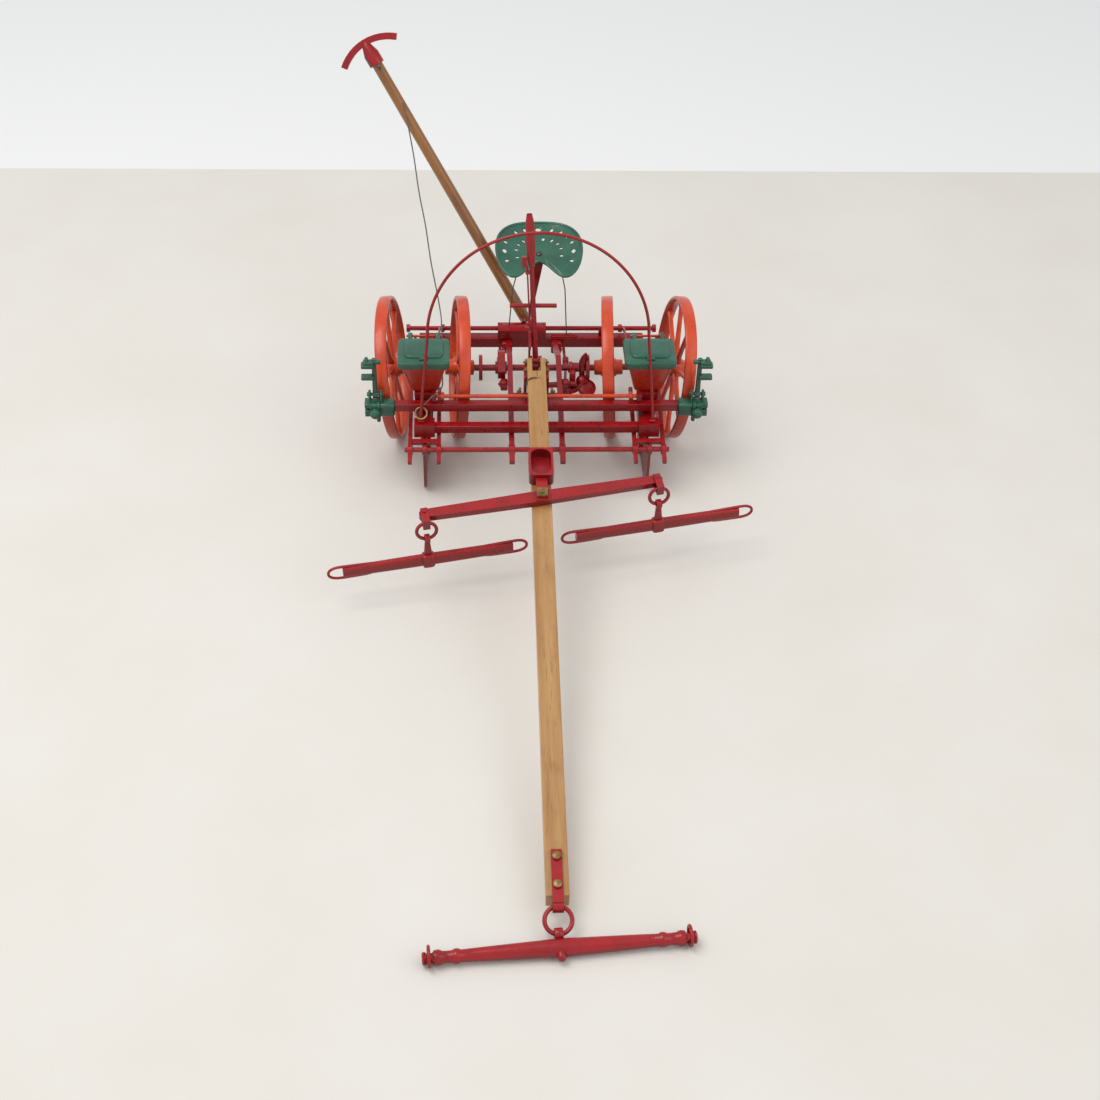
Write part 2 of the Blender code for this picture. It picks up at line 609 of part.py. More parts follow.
def build_check_heads(paints):
    """Green heads on the check bar's ends, each with a forked arm that the check wire trips."""
    for name, side in (("left", -1), ("right", 1)):
        x0, x1 = side * (CHECK_BAR_HALF - 0.0030), side * (CHECK_BAR_HALF + 0.0150)
        low, high = min(x0, x1), max(x0, x1)
        body = box((low, CHECK_BAR_Y - 0.0052, CHECK_BAR_Z - 0.0050),
                   (high, CHECK_BAR_Y + CHECK_BAR / 2 + 2 * FIT, CHECK_BAR_Z + 0.0046))
        socket = block((side * (CHECK_BAR_HALF - 0.0100), CHECK_BAR_Y, CHECK_BAR_Z),
                       (2 * (0.0100 + FIT), CHECK_BAR + 2 * FIT, CHECK_BAR + 2 * FIT))
        xa = side * (CHECK_BAR_HALF + 0.0085)
        pivot = (CHECK_BAR_Y, CHECK_BAR_Z + 0.0085)
        cheeks = [plate_x([(pivot[0] - 0.0034, CHECK_BAR_Z + 0.004),
                           (pivot[0] + 0.0034, CHECK_BAR_Z + 0.004),
                           (pivot[0] + 0.0024, pivot[1] + 0.0022), (pivot[0] - 0.0024, pivot[1] + 0.0022)],
                          x - 0.0008, x + 0.0008) for x in (xa - 0.0034, xa + 0.0034)]
        axle = pin((xa - 0.0034, *pivot), (xa + 0.0034, *pivot), 0.0010, 10)
        front = pin((xa, CHECK_BAR_Y - 0.0045, CHECK_BAR_Z - 0.001),
                    (xa, CHECK_BAR_Y - 0.0100, CHECK_BAR_Z - 0.001),
                    0.0030, 14)
        add(f"check_head_{name}", fuse([body, axle, front] + cheeks, [socket]), paints["green"])
        y, z = pivot
        arm = plate_x([(y - 0.0016, z - 0.0010), (y + 0.0016, z - 0.0010), (y + 0.0013, z + 0.0250),
                       (y - 0.0013, z + 0.0250)], xa - 0.0015, xa + 0.0015)
        eye = pin((xa - 0.0015, y, z), (xa + 0.0015, y, z), 0.0024, 14)
        rolls = [pin((xa + dx, y - 0.0052, z + up), (xa + dx, y + 0.0012, z + up), 0.0017, 12)
                 for dx, up in ((-0.0042, 0.0230), (0.0042, 0.0230), (0.0042, 0.0130))]
        ties = [block((xa, y, z + up), (0.0092, 0.0018, 0.0020)) for up in (0.0230,)]
        ties.append(block((xa + 0.0021, y, z + 0.0130), (0.0050, 0.0018, 0.0020)))
        bore = pin((xa - 0.003, y, z), (xa + 0.003, y, z), 0.0010 + PLAY, 10)
        add(f"check_fork_{name}", fuse([arm, eye] + rolls + ties, [bore]), paints["green"], (xa, y, z))


def build_feed_shaft(paints):
    """The round shaft that drives both seed plates, with its drive pinion by the tongue."""
    half = ROW_HALF - 0.0040
    bar = pin((-half, FEED_SHAFT_Y, FEED_SHAFT_Z), (half, FEED_SHAFT_Y, FEED_SHAFT_Z), FEED_SHAFT_R, 10)
    collar = [pin((x - 0.0010, FEED_SHAFT_Y, FEED_SHAFT_Z), (x + 0.0010, FEED_SHAFT_Y, FEED_SHAFT_Z),
                  0.0024, 12)
              for x in (-0.0560, 0.0560)]
    mesh = fuse([bar] + collar)
    add("feed_shaft", mesh, paints["wheel"], (0, FEED_SHAFT_Y, FEED_SHAFT_Z))


def build_arch(paints):
    """A bent rod that spans both hoppers, its feet on the front crossbar."""
    base = CLAMP_TOP + FIT
    path = [(-ARCH_FOOT_X, base), (-ARCH_FOOT_X + 0.0006, base + 0.018)]
    path += [(ARCH_R * math.cos(t), ARCH_SPRING_Z + ARCH_R * math.sin(t))
             for t in np.radians(np.linspace(180, 0, 21))]
    path += [(ARCH_FOOT_X - 0.0006, base + 0.018), (ARCH_FOOT_X, base)]
    points = [(x, CROSSBAR_Y + (z - base) * math.tan(ARCH_LEAN), base + (z - base)) for x, z in path]
    feet = [block((side * ARCH_FOOT_X, CROSSBAR_Y, base + 0.0006), (0.0030, 0.0026, 0.0012))
            for side in (-1, 1)]
    add("rope_arch", fuse([rod(points, ARCH_ROD_R, 6)] + feet), paints["red"])


# ---- tongue and draft gear ---------------------------------------------------------------
TONGUE_PLACE = Matrix.Translation(Vector(TONGUE_REAR)) @ Matrix.Rotation(TONGUE_SLOPE, 4, 'X')


def tongue_bottom(y):
    """Height of the tongue's underside at y."""
    return TONGUE_REAR[2] + (y - TONGUE_REAR[1]) * math.tan(TONGUE_SLOPE) - TONGUE_DEPTH / math.cos(TONGUE_SLOPE)


def build_tongue(paints):
    """The wooden pole, notched at the rear for the lift lever, and the plate it sits on."""
    beam = box((-TONGUE_WIDTH / 2, -TONGUE_LENGTH, -TONGUE_DEPTH), (TONGUE_WIDTH / 2, 0, 0))
    notch = box((-NOTCH_WIDTH / 2, -NOTCH_LENGTH, -0.02), (NOTCH_WIDTH / 2, 0.01, 0.01))
    bolt = pin((0, -EVENER_AT, -0.02), (0, -EVENER_AT, 0.01), EVENER_BOLT_R + PLAY, 12)
    add("tongue", placed(fuse([beam], [notch, bolt]), TONGUE_PLACE), paints["wood"])
    y0, y1 = TONGUE_REAR[1] - 0.0095, TONGUE_REAR[1] - 0.0020
    low, high = [rail_z(y) + RAIL_HALF_Z + FIT for y in (y0, y1)]
    half = RAIL_X + RAIL_WIDTH / 2
    base = plate_x([(y0, low), (y1, high), (y1, high + 0.0020), (y0, low + 0.0020)], -half, half)
    rest = plate_x([(y0, tongue_bottom(y0) - 0.0024), (y1, tongue_bottom(y1) - 0.0024),
                    (y1, tongue_bottom(y1) - FIT), (y0, tongue_bottom(y0) - FIT)], -TONGUE_WIDTH / 2,
                    TONGUE_WIDTH / 2)
    side = TONGUE_WIDTH / 2 + FIT
    cheeks = [plate_x([(y0 - 0.0015, low + 0.0008), (y1 + 0.001, high + 0.0008),
                       (y1 - 0.0005, tongue_bottom(y1) + 0.0060),
                       (y0 - 0.0035, tongue_bottom(y0) + 0.0055)], *sorted((s * side, s * (side + 0.0016))))
              for s in (-1, 1)]
    ties = [block((s * (side + 0.0003), (y0 + y1) / 2, tongue_bottom(y0) - 0.0012),
                  (0.0016, 0.0050, 0.0014))
            for s in (-1, 1)]
    add("tongue_plate", fuse([base, rest] + cheeks + ties), paints["red"])


def rounded(half_x, half_y, corner, steps=4):
    """A rectangle with round corners, about zero."""
    points = []
    for cx, cy, start in ((1, 1, 0), (-1, 1, 90), (-1, -1, 180), (1, -1, 270)):
        centre = (cx * (half_x - corner), cy * (half_y - corner))
        points += arc(centre, corner, start, start + 90, steps)
    return points


def build_tool_box(paints):
    """The open box on the tongue and the hammer strap that steadies the evener bolt."""
    middle = -(BOX_AT + BOX_LENGTH / 2)
    outer = plate_z([(x, middle + y) for x, y in rounded(BOX_WIDTH / 2, BOX_LENGTH / 2, 0.0020)],
                    FIT, FIT + BOX_HEIGHT)
    room = (BOX_WIDTH / 2 - BOX_WALL, BOX_LENGTH / 2 - BOX_WALL)
    inner = plate_z([(x, middle + y) for x, y in rounded(*room, 0.0045)], FIT + BOX_WALL, BOX_HEIGHT + 0.01)
    front = -(BOX_AT + BOX_LENGTH)
    level = FIT + EVENER_HEIGHT + FIT
    strap = box((-0.0032, -(EVENER_AT + 0.0050), level), (0.0032, front + 0.0010, level + 0.0012))
    hole = pin((0, -EVENER_AT, level - 0.001), (0, -EVENER_AT, level + 0.003), EVENER_BOLT_R + PLAY, 12)
    add("tool_box", placed(fuse([outer, strap], [inner, hole]), TONGUE_PLACE), paints["red"])
    top = level + 0.0012 + FIT
    bolt = [turned([(-TONGUE_DEPTH - 0.0010, EVENER_BOLT_R), (top + 0.0022, EVENER_BOLT_R)],
                   (0, -EVENER_AT, 0), UP, 12),
            box((-0.0030, -EVENER_AT - 0.0030, top), (0.0030, -EVENER_AT + 0.0030, top + 0.0016)),
            turned([(-TONGUE_DEPTH - 0.0020, 0.0030), (-TONGUE_DEPTH - FIT, 0.0030)], (0, -EVENER_AT, 0),
                   UP, 12)]
    add("evener_bolt", placed(fuse(bolt), TONGUE_PLACE), paints["brass"])


EVENER_PLACE = (TONGUE_PLACE @ Matrix.Translation((0, -EVENER_AT,
                                                   FIT)) @ Matrix.Rotation(EVENER_YAW, 4, 'Z'))
EVENER_ALONG = EVENER_PLACE.to_3x3() @ RIGHT
HANG_DOWN = (-UP + EVENER_ALONG * EVENER_ALONG.dot(UP)).normalized()


def build_doubletree(paints):
    """The swinging evener bar, its two clevises, their rings and the singletrees below them."""
    end, half = 0.0030, EVENER_DEPTH / 2
    outline = arc((EVENER_HALF, 0), end, -80, 80, 6) + [(0.006, half), (-0.006, half)]
    outline += arc((-EVENER_HALF, 0), end, 100, 260, 6) + [(-0.006, -half), (0.006, -half)]
    bar = plate_z(outline, 0, EVENER_HEIGHT)
    holes = [pin((x, 0, -0.001), (x, 0, EVENER_HEIGHT + 0.001), r + PLAY, 12)
             for x, r in ((0, EVENER_BOLT_R), (EVENER_HALF, 0.0012), (-EVENER_HALF, 0.0012))]
    add("doubletree", placed(fuse([bar], holes), EVENER_PLACE), paints["red"],
        EVENER_PLACE @ Vector((0, 0, 0)))
    for name, side in (("left", -1), ("right", 1)):
        build_clevis(name, side, paints)


def build_clevis(name, side, paints):
    """A bent strap round the bar's end on its pin, with the ring and the singletree it carries."""
    x, half = side * EVENER_HALF, CLEVIS_WIDTH / 2
    low, high = -FIT - CLEVIS_WALL, EVENER_HEIGHT + FIT + CLEVIS_WALL
    reach = -CLEVIS_REACH
    outer = box((x - half, reach - CLEVIS_WALL, low), (x + half, 0.0026, high))
    inner = box((x - half - 0.001, reach, low + CLEVIS_WALL), (x + half + 0.001, 0.01, high - CLEVIS_WALL))
    post = pin((x, 0, low - 0.0008), (x, 0, high + 0.0008), 0.0012, 10)
    mesh = placed(fuse([outer, post], [inner]), EVENER_PLACE)
    pivot = EVENER_PLACE @ Vector((x, 0, 0))
    add(f"clevis_{name}", mesh, paints["red"], pivot)
    seat = EVENER_PLACE @ Vector((x, reach + RING_WIRE + 0.0006, RING_WIRE + 0.0004))
    centre = seat + HANG_DOWN * RING_R
    ring = hoop(centre, EVENER_ALONG.cross(HANG_DOWN), RING_R, RING_WIRE, 20, 6)
    add(f"clevis_ring_{name}", ring, paints["red"], seat)
    build_singletree(name, seat + HANG_DOWN * 2 * RING_R, paints)


def build_singletree(name, hook, paints):
    """A turned bar with a strap clip on the ring and a loop at each end."""
    drop = 0.0150
    clip, eye = 0.0030, RING_WIRE + 0.0006
    place = Matrix.Identity(4)
    ahead = EVENER_ALONG.cross(HANG_DOWN)
    for i, axis in enumerate((EVENER_ALONG, ahead, -HANG_DOWN)):
        place.col[i][:3] = axis
    place.col[3][:3] = hook
    h = SINGLETREE_HALF
    profile = [(-h, 0.0020), (-h + 0.007, 0.0021), (-h + 0.0075, 0.0028), (-h + 0.012, 0.0028),
               (-h + 0.0125, 0.0024),
               (-0.012, SINGLETREE_R), (0.012, SINGLETREE_R), (h - 0.0125, 0.0024), (h - 0.012, 0.0028),
               (h - 0.0075, 0.0028), (h - 0.007, 0.0021), (h, 0.0020)]
    body = turned(profile, (0, 0, -drop), RIGHT, 10)
    outer_eye = turned([(-clip / 2, eye + 0.0010), (clip / 2, eye + 0.0010)], (0, 0, 0), RIGHT, 12)
    shank = box((-clip / 2, -0.0012, -drop), (clip / 2, 0.0012, -eye))
    cuff = turned([(-0.0028, SINGLETREE_R + 0.0010), (0.0028, SINGLETREE_R + 0.0010)], (0, 0, -drop),
                  RIGHT, 12)
    loops = [hoop((s * (h + 0.0022), 0, -drop), BACK, 0.0028, 0.0008, 12, 5) for s in (-1, 1)]
    bore = turned([(-0.003, eye), (0.003, eye)], (0, 0, 0), RIGHT, 12)
    mesh = placed(fuse([body, outer_eye, shank, cuff] + loops, [bore]), place)
    add(f"singletree_{name}", mesh, paints["red"], hook)


YOKE_EYE_AT = TONGUE_LENGTH + 0.0044
YOKE_RING_DROP = math.radians(28.0)


def build_neck_yoke(paints):
    """The tongue's end strap, the ring in its eye, and the neck yoke on the ground."""
    bore = YOKE_RING_WIRE + 0.0009
    wide = 0.0052
    eye = (0, -YOKE_EYE_AT, -0.0022)
    plate = box((-wide / 2, -YOKE_EYE_AT, FIT), (wide / 2, -TONGUE_LENGTH + 0.0240, FIT + 0.0011))
    barrel = pin((-wide / 2, *eye[1:]), (wide / 2, *eye[1:]), bore + 0.0011, 18)
    hole = pin((-wide, *eye[1:]), (wide, *eye[1:]), bore, 16)
    bolts = [pin((0, -TONGUE_LENGTH + ahead, FIT), (0, -TONGUE_LENGTH + ahead, FIT + 0.0022), 0.00235, 14)
             for ahead in (0.0050, 0.0200)]
    add("tongue_strap", placed(fuse([plate, barrel] + bolts, [hole]), TONGUE_PLACE), paints["red"])

    hook = TONGUE_PLACE @ Vector(eye)
    lie = Vector((0, -math.cos(YOKE_RING_DROP), -math.sin(YOKE_RING_DROP)))
    ring = hoop(hook + lie * YOKE_RING_R, RIGHT.cross(lie), YOKE_RING_R, YOKE_RING_WIRE, 20, 6)
    add("yoke_ring", ring, paints["iron"], hook)
    build_yoke_bar(hook + lie * 2 * YOKE_RING_R, bore, paints)


def build_yoke_bar(hook, bore, paints):
    """A barrel-shaped bar with end collars, held in the ring by an eye at its middle."""
    place = Matrix.Translation(hook) @ Matrix.Rotation(YOKE_YAW, 4, 'Z')
    back = bore + 0.0011 + YOKE_R - 0.0004
    drop = YOKE_R - hook.z
    h = YOKE_HALF
    profile = [(-h, 0.0020), (-h + 0.004, 0.0020), (-h + 0.0045, 0.0033), (-h + 0.008, 0.0033),
               (-h + 0.0085, 0.0028),
               (-0.022, 0.0038), (-0.006, YOKE_R), (0.006, YOKE_R), (0.022, 0.0038), (h - 0.0085, 0.0028),
               (h - 0.008, 0.0033), (h - 0.0045, 0.0033), (h - 0.004, 0.0020), (h, 0.0020)]
    bar = turned(profile, (0, -back, drop), RIGHT, 12)
    caps = [turned([(0, 0.0029), (0.0012, 0.0029)], (x, -back, drop), RIGHT, 12)
            for x in (-h - 0.001, h - 0.0002)]
    barrel = pin((-0.0020, 0, 0), (0.0020, 0, 0), bore + 0.0011, 18)
    nub = turned([(0, 0.0022), (YOKE_R + 0.003, 0.0016)], (0, -back, drop), -BACK, 12)
    hole = pin((-0.0030, 0, 0), (0.0030, 0, 0), bore, 16)
    mesh = placed(fuse([bar, barrel, nub] + caps, [hole]), place)
    add("neck_yoke", mesh, paints["red"], hook)
    for name, side in (("left", -1), ("right", 1)):
        neck = Vector((side * (h - 0.0020), -back, drop))
        radius, wire = 0.0046, 0.0008
        lift = radius + wire - YOKE_R + 0.0001
        ring = hoop(neck + UP * lift, RIGHT, radius, wire, 16, 6)
        add(f"yoke_end_ring_{name}", placed(ring, place), paints["iron"], place @ neck)


# ---- lift lever, seat, marker ------------------------------------------------------------
def build_lift_lever(axle, paints):
    """The hand lever with its foot bar, its bracket, and the latch that slides on the lever."""
    px, py, pz = LEVER_PIVOT
    gap = LEVER_WIDTH / 2 + FIT
    outline = [(py - 0.0032, pz - 0.0030), (py - 0.0032, pz + 0.0012), (py, pz + 0.0034),
               (py + 0.0030, pz + 0.0010),
               (axle.y + 0.0036, axle.z + 0.0010), (axle.y + 0.0030,
                                                    axle.z - 0.0020), (axle.y - 0.0030, axle.z - 0.0016)]
    cheeks = [plate_x(outline, *sorted((s * gap, s * (gap + 0.0016)))) for s in (-1, 1)]
    sleeve = pin((-0.0060, axle.y, axle.z), (0.0060, axle.y, axle.z), AXLE_R + PLAY + 0.0014, 18)
    trunnion = pin((-gap - 0.0022, py, pz), (gap + 0.0022, py, pz), LEVER_PIN_R, 12)
    hole = pin((-0.01, axle.y, axle.z), (0.01, axle.y, axle.z), AXLE_R + PLAY, 16)
    x1 = -(gap + 0.0012)
    sector = plate_x(arc((py, pz), 0.0180, 45, 120, 12) + arc((py, pz), 0.0140, 120, 45, 8), x1 - 0.0012,
                     x1)
    leg = plate_x([(py - 0.0018, pz), (py + 0.0030, pz - 0.0010), (py + 0.0066, pz + 0.0140),
                   (py + 0.0020, pz + 0.0155)], x1 - 0.0012, x1)
    add("lever_bracket", fuse([sleeve, trunnion, sector, leg] + cheeks, [hole]), paints["red"])

    place = (Matrix.Translation(LEVER_PIVOT) @ Matrix.Rotation(-LEVER_TILT, 4, 'Y')
             @ Matrix.Rotation(-LEVER_LEAN, 4, 'X'))
    loops = []
    for z, x, y in ((-0.0020, LEVER_WIDTH / 2, LEVER_DEPTH / 2), (0.0600, 0.0014, 0.0018),
                    (0.0630, 0.0022, 0.0022),
                    (0.0720, 0.0027, 0.0024), (0.0860, 0.0025, 0.0024), (0.0910, 0.0016, 0.0016),
                    (LEVER_LENGTH, 0.0006, 0.0006)):
        loops.append([(x * a, y * b, z) for a, b in ((-0.5, -1), (0.5, -1), (1, -0.5), (1, 0.5), (0.5, 1),
                                                     (-0.5, 1),
                                                     (-1, 0.5), (-1, -0.5))])
    rod_x = -(LEVER_WIDTH / 2 + 0.0007)
    guides = [block((rod_x + 0.0003, 0, z), (0.0034, 0.0024, 0.0024)) for z in (0.0248, 0.0560)]
    bore = pin((rod_x - 0.0002, 0, 0.018), (rod_x - 0.0002, 0, 0.0595), 0.0005 + PLAY, 8)
    shank = placed(fuse([loft(loops)] + guides, [bore]), place)
    eye = pin((px - LEVER_WIDTH / 2, py, pz), (px + LEVER_WIDTH / 2, py, pz), 0.0030, 16)
    hole = pin((px - 0.01, py, pz), (px + 0.01, py, pz), LEVER_PIN_R + PLAY, 12)
    bar = place @ Vector((0, 0.0026, 0.0340))
    treadle = pin(bar - RIGHT * 0.0140, bar + RIGHT * 0.0140, 0.0013, 12)
    add("lift_lever", fuse([shank, eye, treadle], [hole]), paints["red"], LEVER_PIVOT)

    rod_x -= 0.0002
    latch = [pin((rod_x, 0, 0.0198), (rod_x, 0, 0.0600), 0.0005, 8),
             block((rod_x - 0.0012, 0, 0.0205), (0.0030, 0.0026, 0.0024)),
             block((rod_x - 0.0014, 0, 0.06225), (0.0030, 0.0030, 0.0065))]
    add("lever_latch", placed(fuse(latch), place), paints["red"], place @ Vector((rod_x, 0, 0.0205)))


def seat_point(turn, share, drop=0.0):
    """A point of the dished seat: an angle from the right-hand side and a share of its reach."""
    c, s = math.cos(turn), math.sin(turn)
    front = max(0.0, -s)
    reach_x = SEAT_HALF[0] * (1 - 0.10 * front)
    reach_y = SEAT_HALF[1] * (1 - 0.62 * front ** 6 * (abs(c) < 0.62)) * (1 + 0.12 * (s > 0) * s)
    rise = 0.0040 * max(0.0, s) ** 1.2 + 0.0040 * c * c - 0.0045 * front * abs(c) * 2
    x, y = reach_x * c * share, reach_y * s * share
    z = rise * share ** 2 + 0.10 * y
    return (SEAT_CENTRE[0] + x, SEAT_CENTRE[1] + y, SEAT_CENTRE[2] + z - drop)


def build_seat(paints):
    """A dished pan on a twisted flat post, steadied by two thin wires."""
    turns = np.arange(30) * 2 * math.pi / 30
    shares = (1.0, 0.7, 0.35)
    loops = [[seat_point(t, share) for t in turns] for share in reversed(shares)]
    loops += [[seat_point(t, share, SEAT_WALL) for t in turns] for share in shares]
    add("seat", loft(loops), paints["green"])
    x, y, _ = SEAT_CENTRE
    top = SEAT_CENTRE[2] - SEAT_WALL - 0.0030
    foot = REAR_ROD_Z + 0.0036 + FIT
    loops = []
    for step in range(9):
        share = step / 8
        turn = math.radians(80) * share
        half = SEAT_POST_WIDTH / 2 * (1 - 0.55 * share)
        cx, cy = x * (1 - share) - 0.0020 * share, y - 0.0030 + (BEAM_Y - y + 0.0035) * share
        z = top + (foot - top) * share
        along, across = (math.cos(turn), math.sin(turn)), (-math.sin(turn), math.cos(turn))
        loops.append([(cx + half * a * along[0] + 0.0007 * b * across[0],
                       cy + half * a * along[1] + 0.0007 * b * across[1], z)
                      for a, b in ((-1, -1), (1, -1), (1, 1), (-1, 1))])
    add("seat_post", loft(loops), paints["red"])
    for name, side, rest in (("left", -1, foot), ("right", 1, BEAM_Z + BEAM / 2 + FIT)):
        path = [(x + side * 0.0135, y - 0.0120, SEAT_CENTRE[2] - 0.0045),
                (x + side * 0.0165, y - 0.0095, 0.0700), (x + side * 0.0185, BEAM_Y - 0.0010, rest)]
        add(f"seat_brace_{name}", rod(path, BRACE_R, 8), paints["iron"])


def build_marker(paints):
    """The row marker: a wooden pole on the rear bracket, with a curved shoe across its end."""
    pivot, top = Vector(MARKER_PIVOT), Vector(MARKER_TOP)
    along = (top - pivot).normalized()
    pole = pin(pivot - along * 0.0045, top, MARKER_POLE_R, 20)
    bore = pin(pivot - BACK * 0.01, pivot + BACK * 0.01, MARKER_PIN_R + PLAY, 12)
    add("marker_pole", fuse([pole], [bore]), paints["dark_wood"], MARKER_PIVOT)
    across = BACK.cross(along).normalized()
    place = Matrix.Identity(4)
    for i, axis in enumerate((across, across.cross(along) * -1, along)):
        place.col[i][:3] = axis
    place.col[3][:3] = top
    sweep = math.degrees(math.asin(SHOE_HALF / SHOE_R))
    crown = 0.0120
    blade = plate_y(arc((0, crown - SHOE_R), SHOE_R, 90 - sweep, 90 + sweep, 12)
                    + arc((0, crown - SHOE_R), SHOE_R - SHOE_BAR, 90 + sweep, 90 - sweep,
                          12), -0.0012, 0.0012)
    socket = turned([(-0.0050, MARKER_POLE_R + PLAY + 0.0009), (0.0020, MARKER_POLE_R + PLAY + 0.0009),
                     (0.0100, 0.0022)],
                    (0, 0, 0), UP, 20)
    cup = turned([(-0.0060, MARKER_POLE_R + PLAY), (FIT, MARKER_POLE_R + PLAY)], (0, 0, 0), UP, 20)
    add("marker_shoe", placed(fuse([blade, socket], [cup]), place), paints["red"], MARKER_PIVOT)


def smooth_route(route, spacing):
    """Points every spacing or so along a Catmull-Rom curve through the route."""
    route = [Vector(p) for p in route]
    ends = [route[0] * 2 - route[1]] + route + [route[-1] * 2 - route[-2]]
    points = [route[0]]
    for a, b, c, d in zip(ends, ends[1:], ends[2:], ends[3:]):
        steps = max(1, round((c - b).length / spacing))
        for k in range(1, steps + 1):
            t = k / steps
            points.append(0.5 * (2 * b + (c - a) * t + (2 * a - 5 * b + 4 * c - d) * t * t
                                 + (3 * b - a - 3 * c + d) * t * t * t))
    return points


ROPE_ROUTE = [
    (-0.0800, 0.1128, 0.1655), (-0.0779, 0.1070, 0.1560), (-0.0742, 0.0985,
                                                           0.1370), (-0.0711, 0.0880, 0.1170),
    (-0.0672, 0.0785, 0.0980), (-0.0640, 0.0680, 0.0780), (-0.0600, 0.0585,
                                                           0.0590), (-0.0580, 0.0500, 0.0500),
    (-0.0574, 0.0380, 0.0510), (-0.0570, 0.0200, 0.0530), (-0.0568, 0.0020,
                                                           0.0545), (-0.0567, -0.0160, 0.0565),
    (-0.0560, -0.0330, 0.0582), (-0.0566, -0.0440, 0.0592), (-0.0620, -0.0505,
                                                             0.0575), (-0.0670, -0.0540, 0.0540)]
RING_CENTRE = (-0.0685, -0.0562, 0.0498)


def build_rope(paints):
    """The marker's pull rope, tied to the pole and kept by a brass ring on the arch's left foot."""
    curve = bpy.data.curves.new("marker_rope", 'CURVE')
    curve.dimensions = '3D'
    curve.bevel_depth = ROPE_R
    curve.bevel_resolution = 2
    curve.use_fill_caps = True
    points = smooth_route(ROPE_ROUTE, 0.0048)
    spline = curve.splines.new('POLY')
    spline.points.add(len(points) - 1)
    for item, point in zip(spline.points, points):
        item.co = (*point, 1.0)
    curve.materials.append(paints["cord"])
    rope = bpy.data.objects.new("marker_rope", curve)
    bpy.context.scene.collection.objects.link(rope)
    normal = Vector((0, -math.cos(math.radians(40)), math.sin(math.radians(40))))
    add("rope_ring", hoop(RING_CENTRE, normal, 0.0034, 0.0006, 16, 6), paints["brass"])


def build_drive(axle, paints):
    """The drop drive casting on the axle, right of the tongue."""
    x0, x1 = RAIL_X + RAIL_WIDTH / 2 + FIT, 0.0310
    sleeve = pin((x0, axle.y, axle.z), (x1, axle.y, axle.z), AXLE_R + PLAY + 0.0016, 18)
    wheel = pin((x0 + 0.0046, axle.y, axle.z), (x0 + 0.0076, axle.y, axle.z), 0.0068, 16)
    finger = plate_x([(axle.y - 0.003, axle.z), (axle.y + 0.004, axle.z),
                      (axle.y + 0.0085, axle.z + 0.0120),
                      (axle.y + 0.0060, axle.z + 0.0145), (axle.y + 0.0030,
                                                           axle.z + 0.0130)], x1 - 0.0042, x1)
    hood = block(((x0 + x1) / 2, axle.y - 0.0085, axle.z - 0.0005), (x1 - x0 - 0.002, 0.0100, 0.0040))
    hole = pin((x0 - 0.01, axle.y, axle.z), (x1 + 0.01, axle.y, axle.z), AXLE_R + PLAY, 16)
    add("drop_drive", fuse([sleeve, wheel, finger, hood], [hole]), paints["red"])
    x0, x1 = -0.0240, -(RAIL_X + RAIL_WIDTH / 2 + FIT)
    sleeve = pin((x0, axle.y, axle.z), (x1, axle.y, axle.z), AXLE_R + PLAY + 0.0016, 18)
    lug = plate_x([(axle.y - 0.009, axle.z - 0.002), (axle.y + 0.002, axle.z - 0.003),
                   (axle.y + 0.010, axle.z + 0.0065),
                   (axle.y + 0.004, axle.z + 0.0090), (axle.y - 0.009,
                                                       axle.z + 0.003)], x0 + 0.0015, x1 - 0.0010)
    hole = pin((x0 - 0.01, axle.y, axle.z), (x1 + 0.01, axle.y, axle.z), AXLE_R + PLAY, 16)
    add("shift_bracket", fuse([sleeve, lug], [hole]), paints["red"])


# ---- the whole machine -------------------------------------------------------------------
def settle_origin():
    """Move everything so that the middle of the footprint, without the rope, is the origin."""
    bpy.context.view_layer.update()
    corners = [item.matrix_world @ Vector(corner) for item in bpy.context.scene.objects
               if item.name not in ("marker_rope", "rope_ring") for corner in item.bound_box]
    low = [min(c[i] for c in corners) for i in range(3)]
    high = [max(c[i] for c in corners) for i in range(3)]
    shift = Vector(((low[0] + high[0]) / 2, (low[1] + high[1]) / 2, low[2]))
    for item in bpy.context.scene.objects:
        item.location -= shift
    bpy.context.view_layer.update()


def main():
    """Build every piece, then settle the origin."""
    for item in list(bpy.data.objects):
        bpy.data.objects.remove(item)
    paints = {
        "red": paint("crimson enamel", (0.42, 0.012, 0.022), 0.35),
        "dark_red": paint("runner enamel", (0.24, 0.012, 0.016), 0.45),
        "wheel": paint("orange enamel", (0.56, 0.060, 0.012), 0.38),
        "hopper": paint("hopper enamel", (0.48, 0.022, 0.006), 0.35),
        "green": paint("green enamel", (0.050, 0.150, 0.095), 0.40),
        "wood": paint("pale wood", (0.56, 0.34, 0.15), 0.60),
        "dark_wood": paint("stained wood", (0.26, 0.11, 0.025), 0.45),
        "brass": paint("brass", (0.45, 0.28, 0.10), 0.35, 1.0),
        "iron": paint("iron", (0.16, 0.13, 0.12), 0.45, 1.0),
        "cord": paint("grey cord", (0.20, 0.18, 0.16), 0.70),
    }
    build_wheels(paints)
    axle = build_main_axle(paints)
    build_side_rails(paints)
    build_cross_bars(paints)
    build_rear_brackets(paints)
    build_row_units(paints)
    build_check_heads(paints)
    build_feed_shaft(paints)
    build_arch(paints)
    build_tongue(paints)
    build_tool_box(paints)
    build_doubletree(paints)
    build_neck_yoke(paints)
    build_lift_lever(axle, paints)
    build_drive(axle, paints)
    build_seat(paints)
    build_marker(paints)
    build_rope(paints)
    settle_origin()


main()
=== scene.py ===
"""Looks of the corn planter model: finished surfaces, finishes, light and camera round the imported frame."""
import json
import math

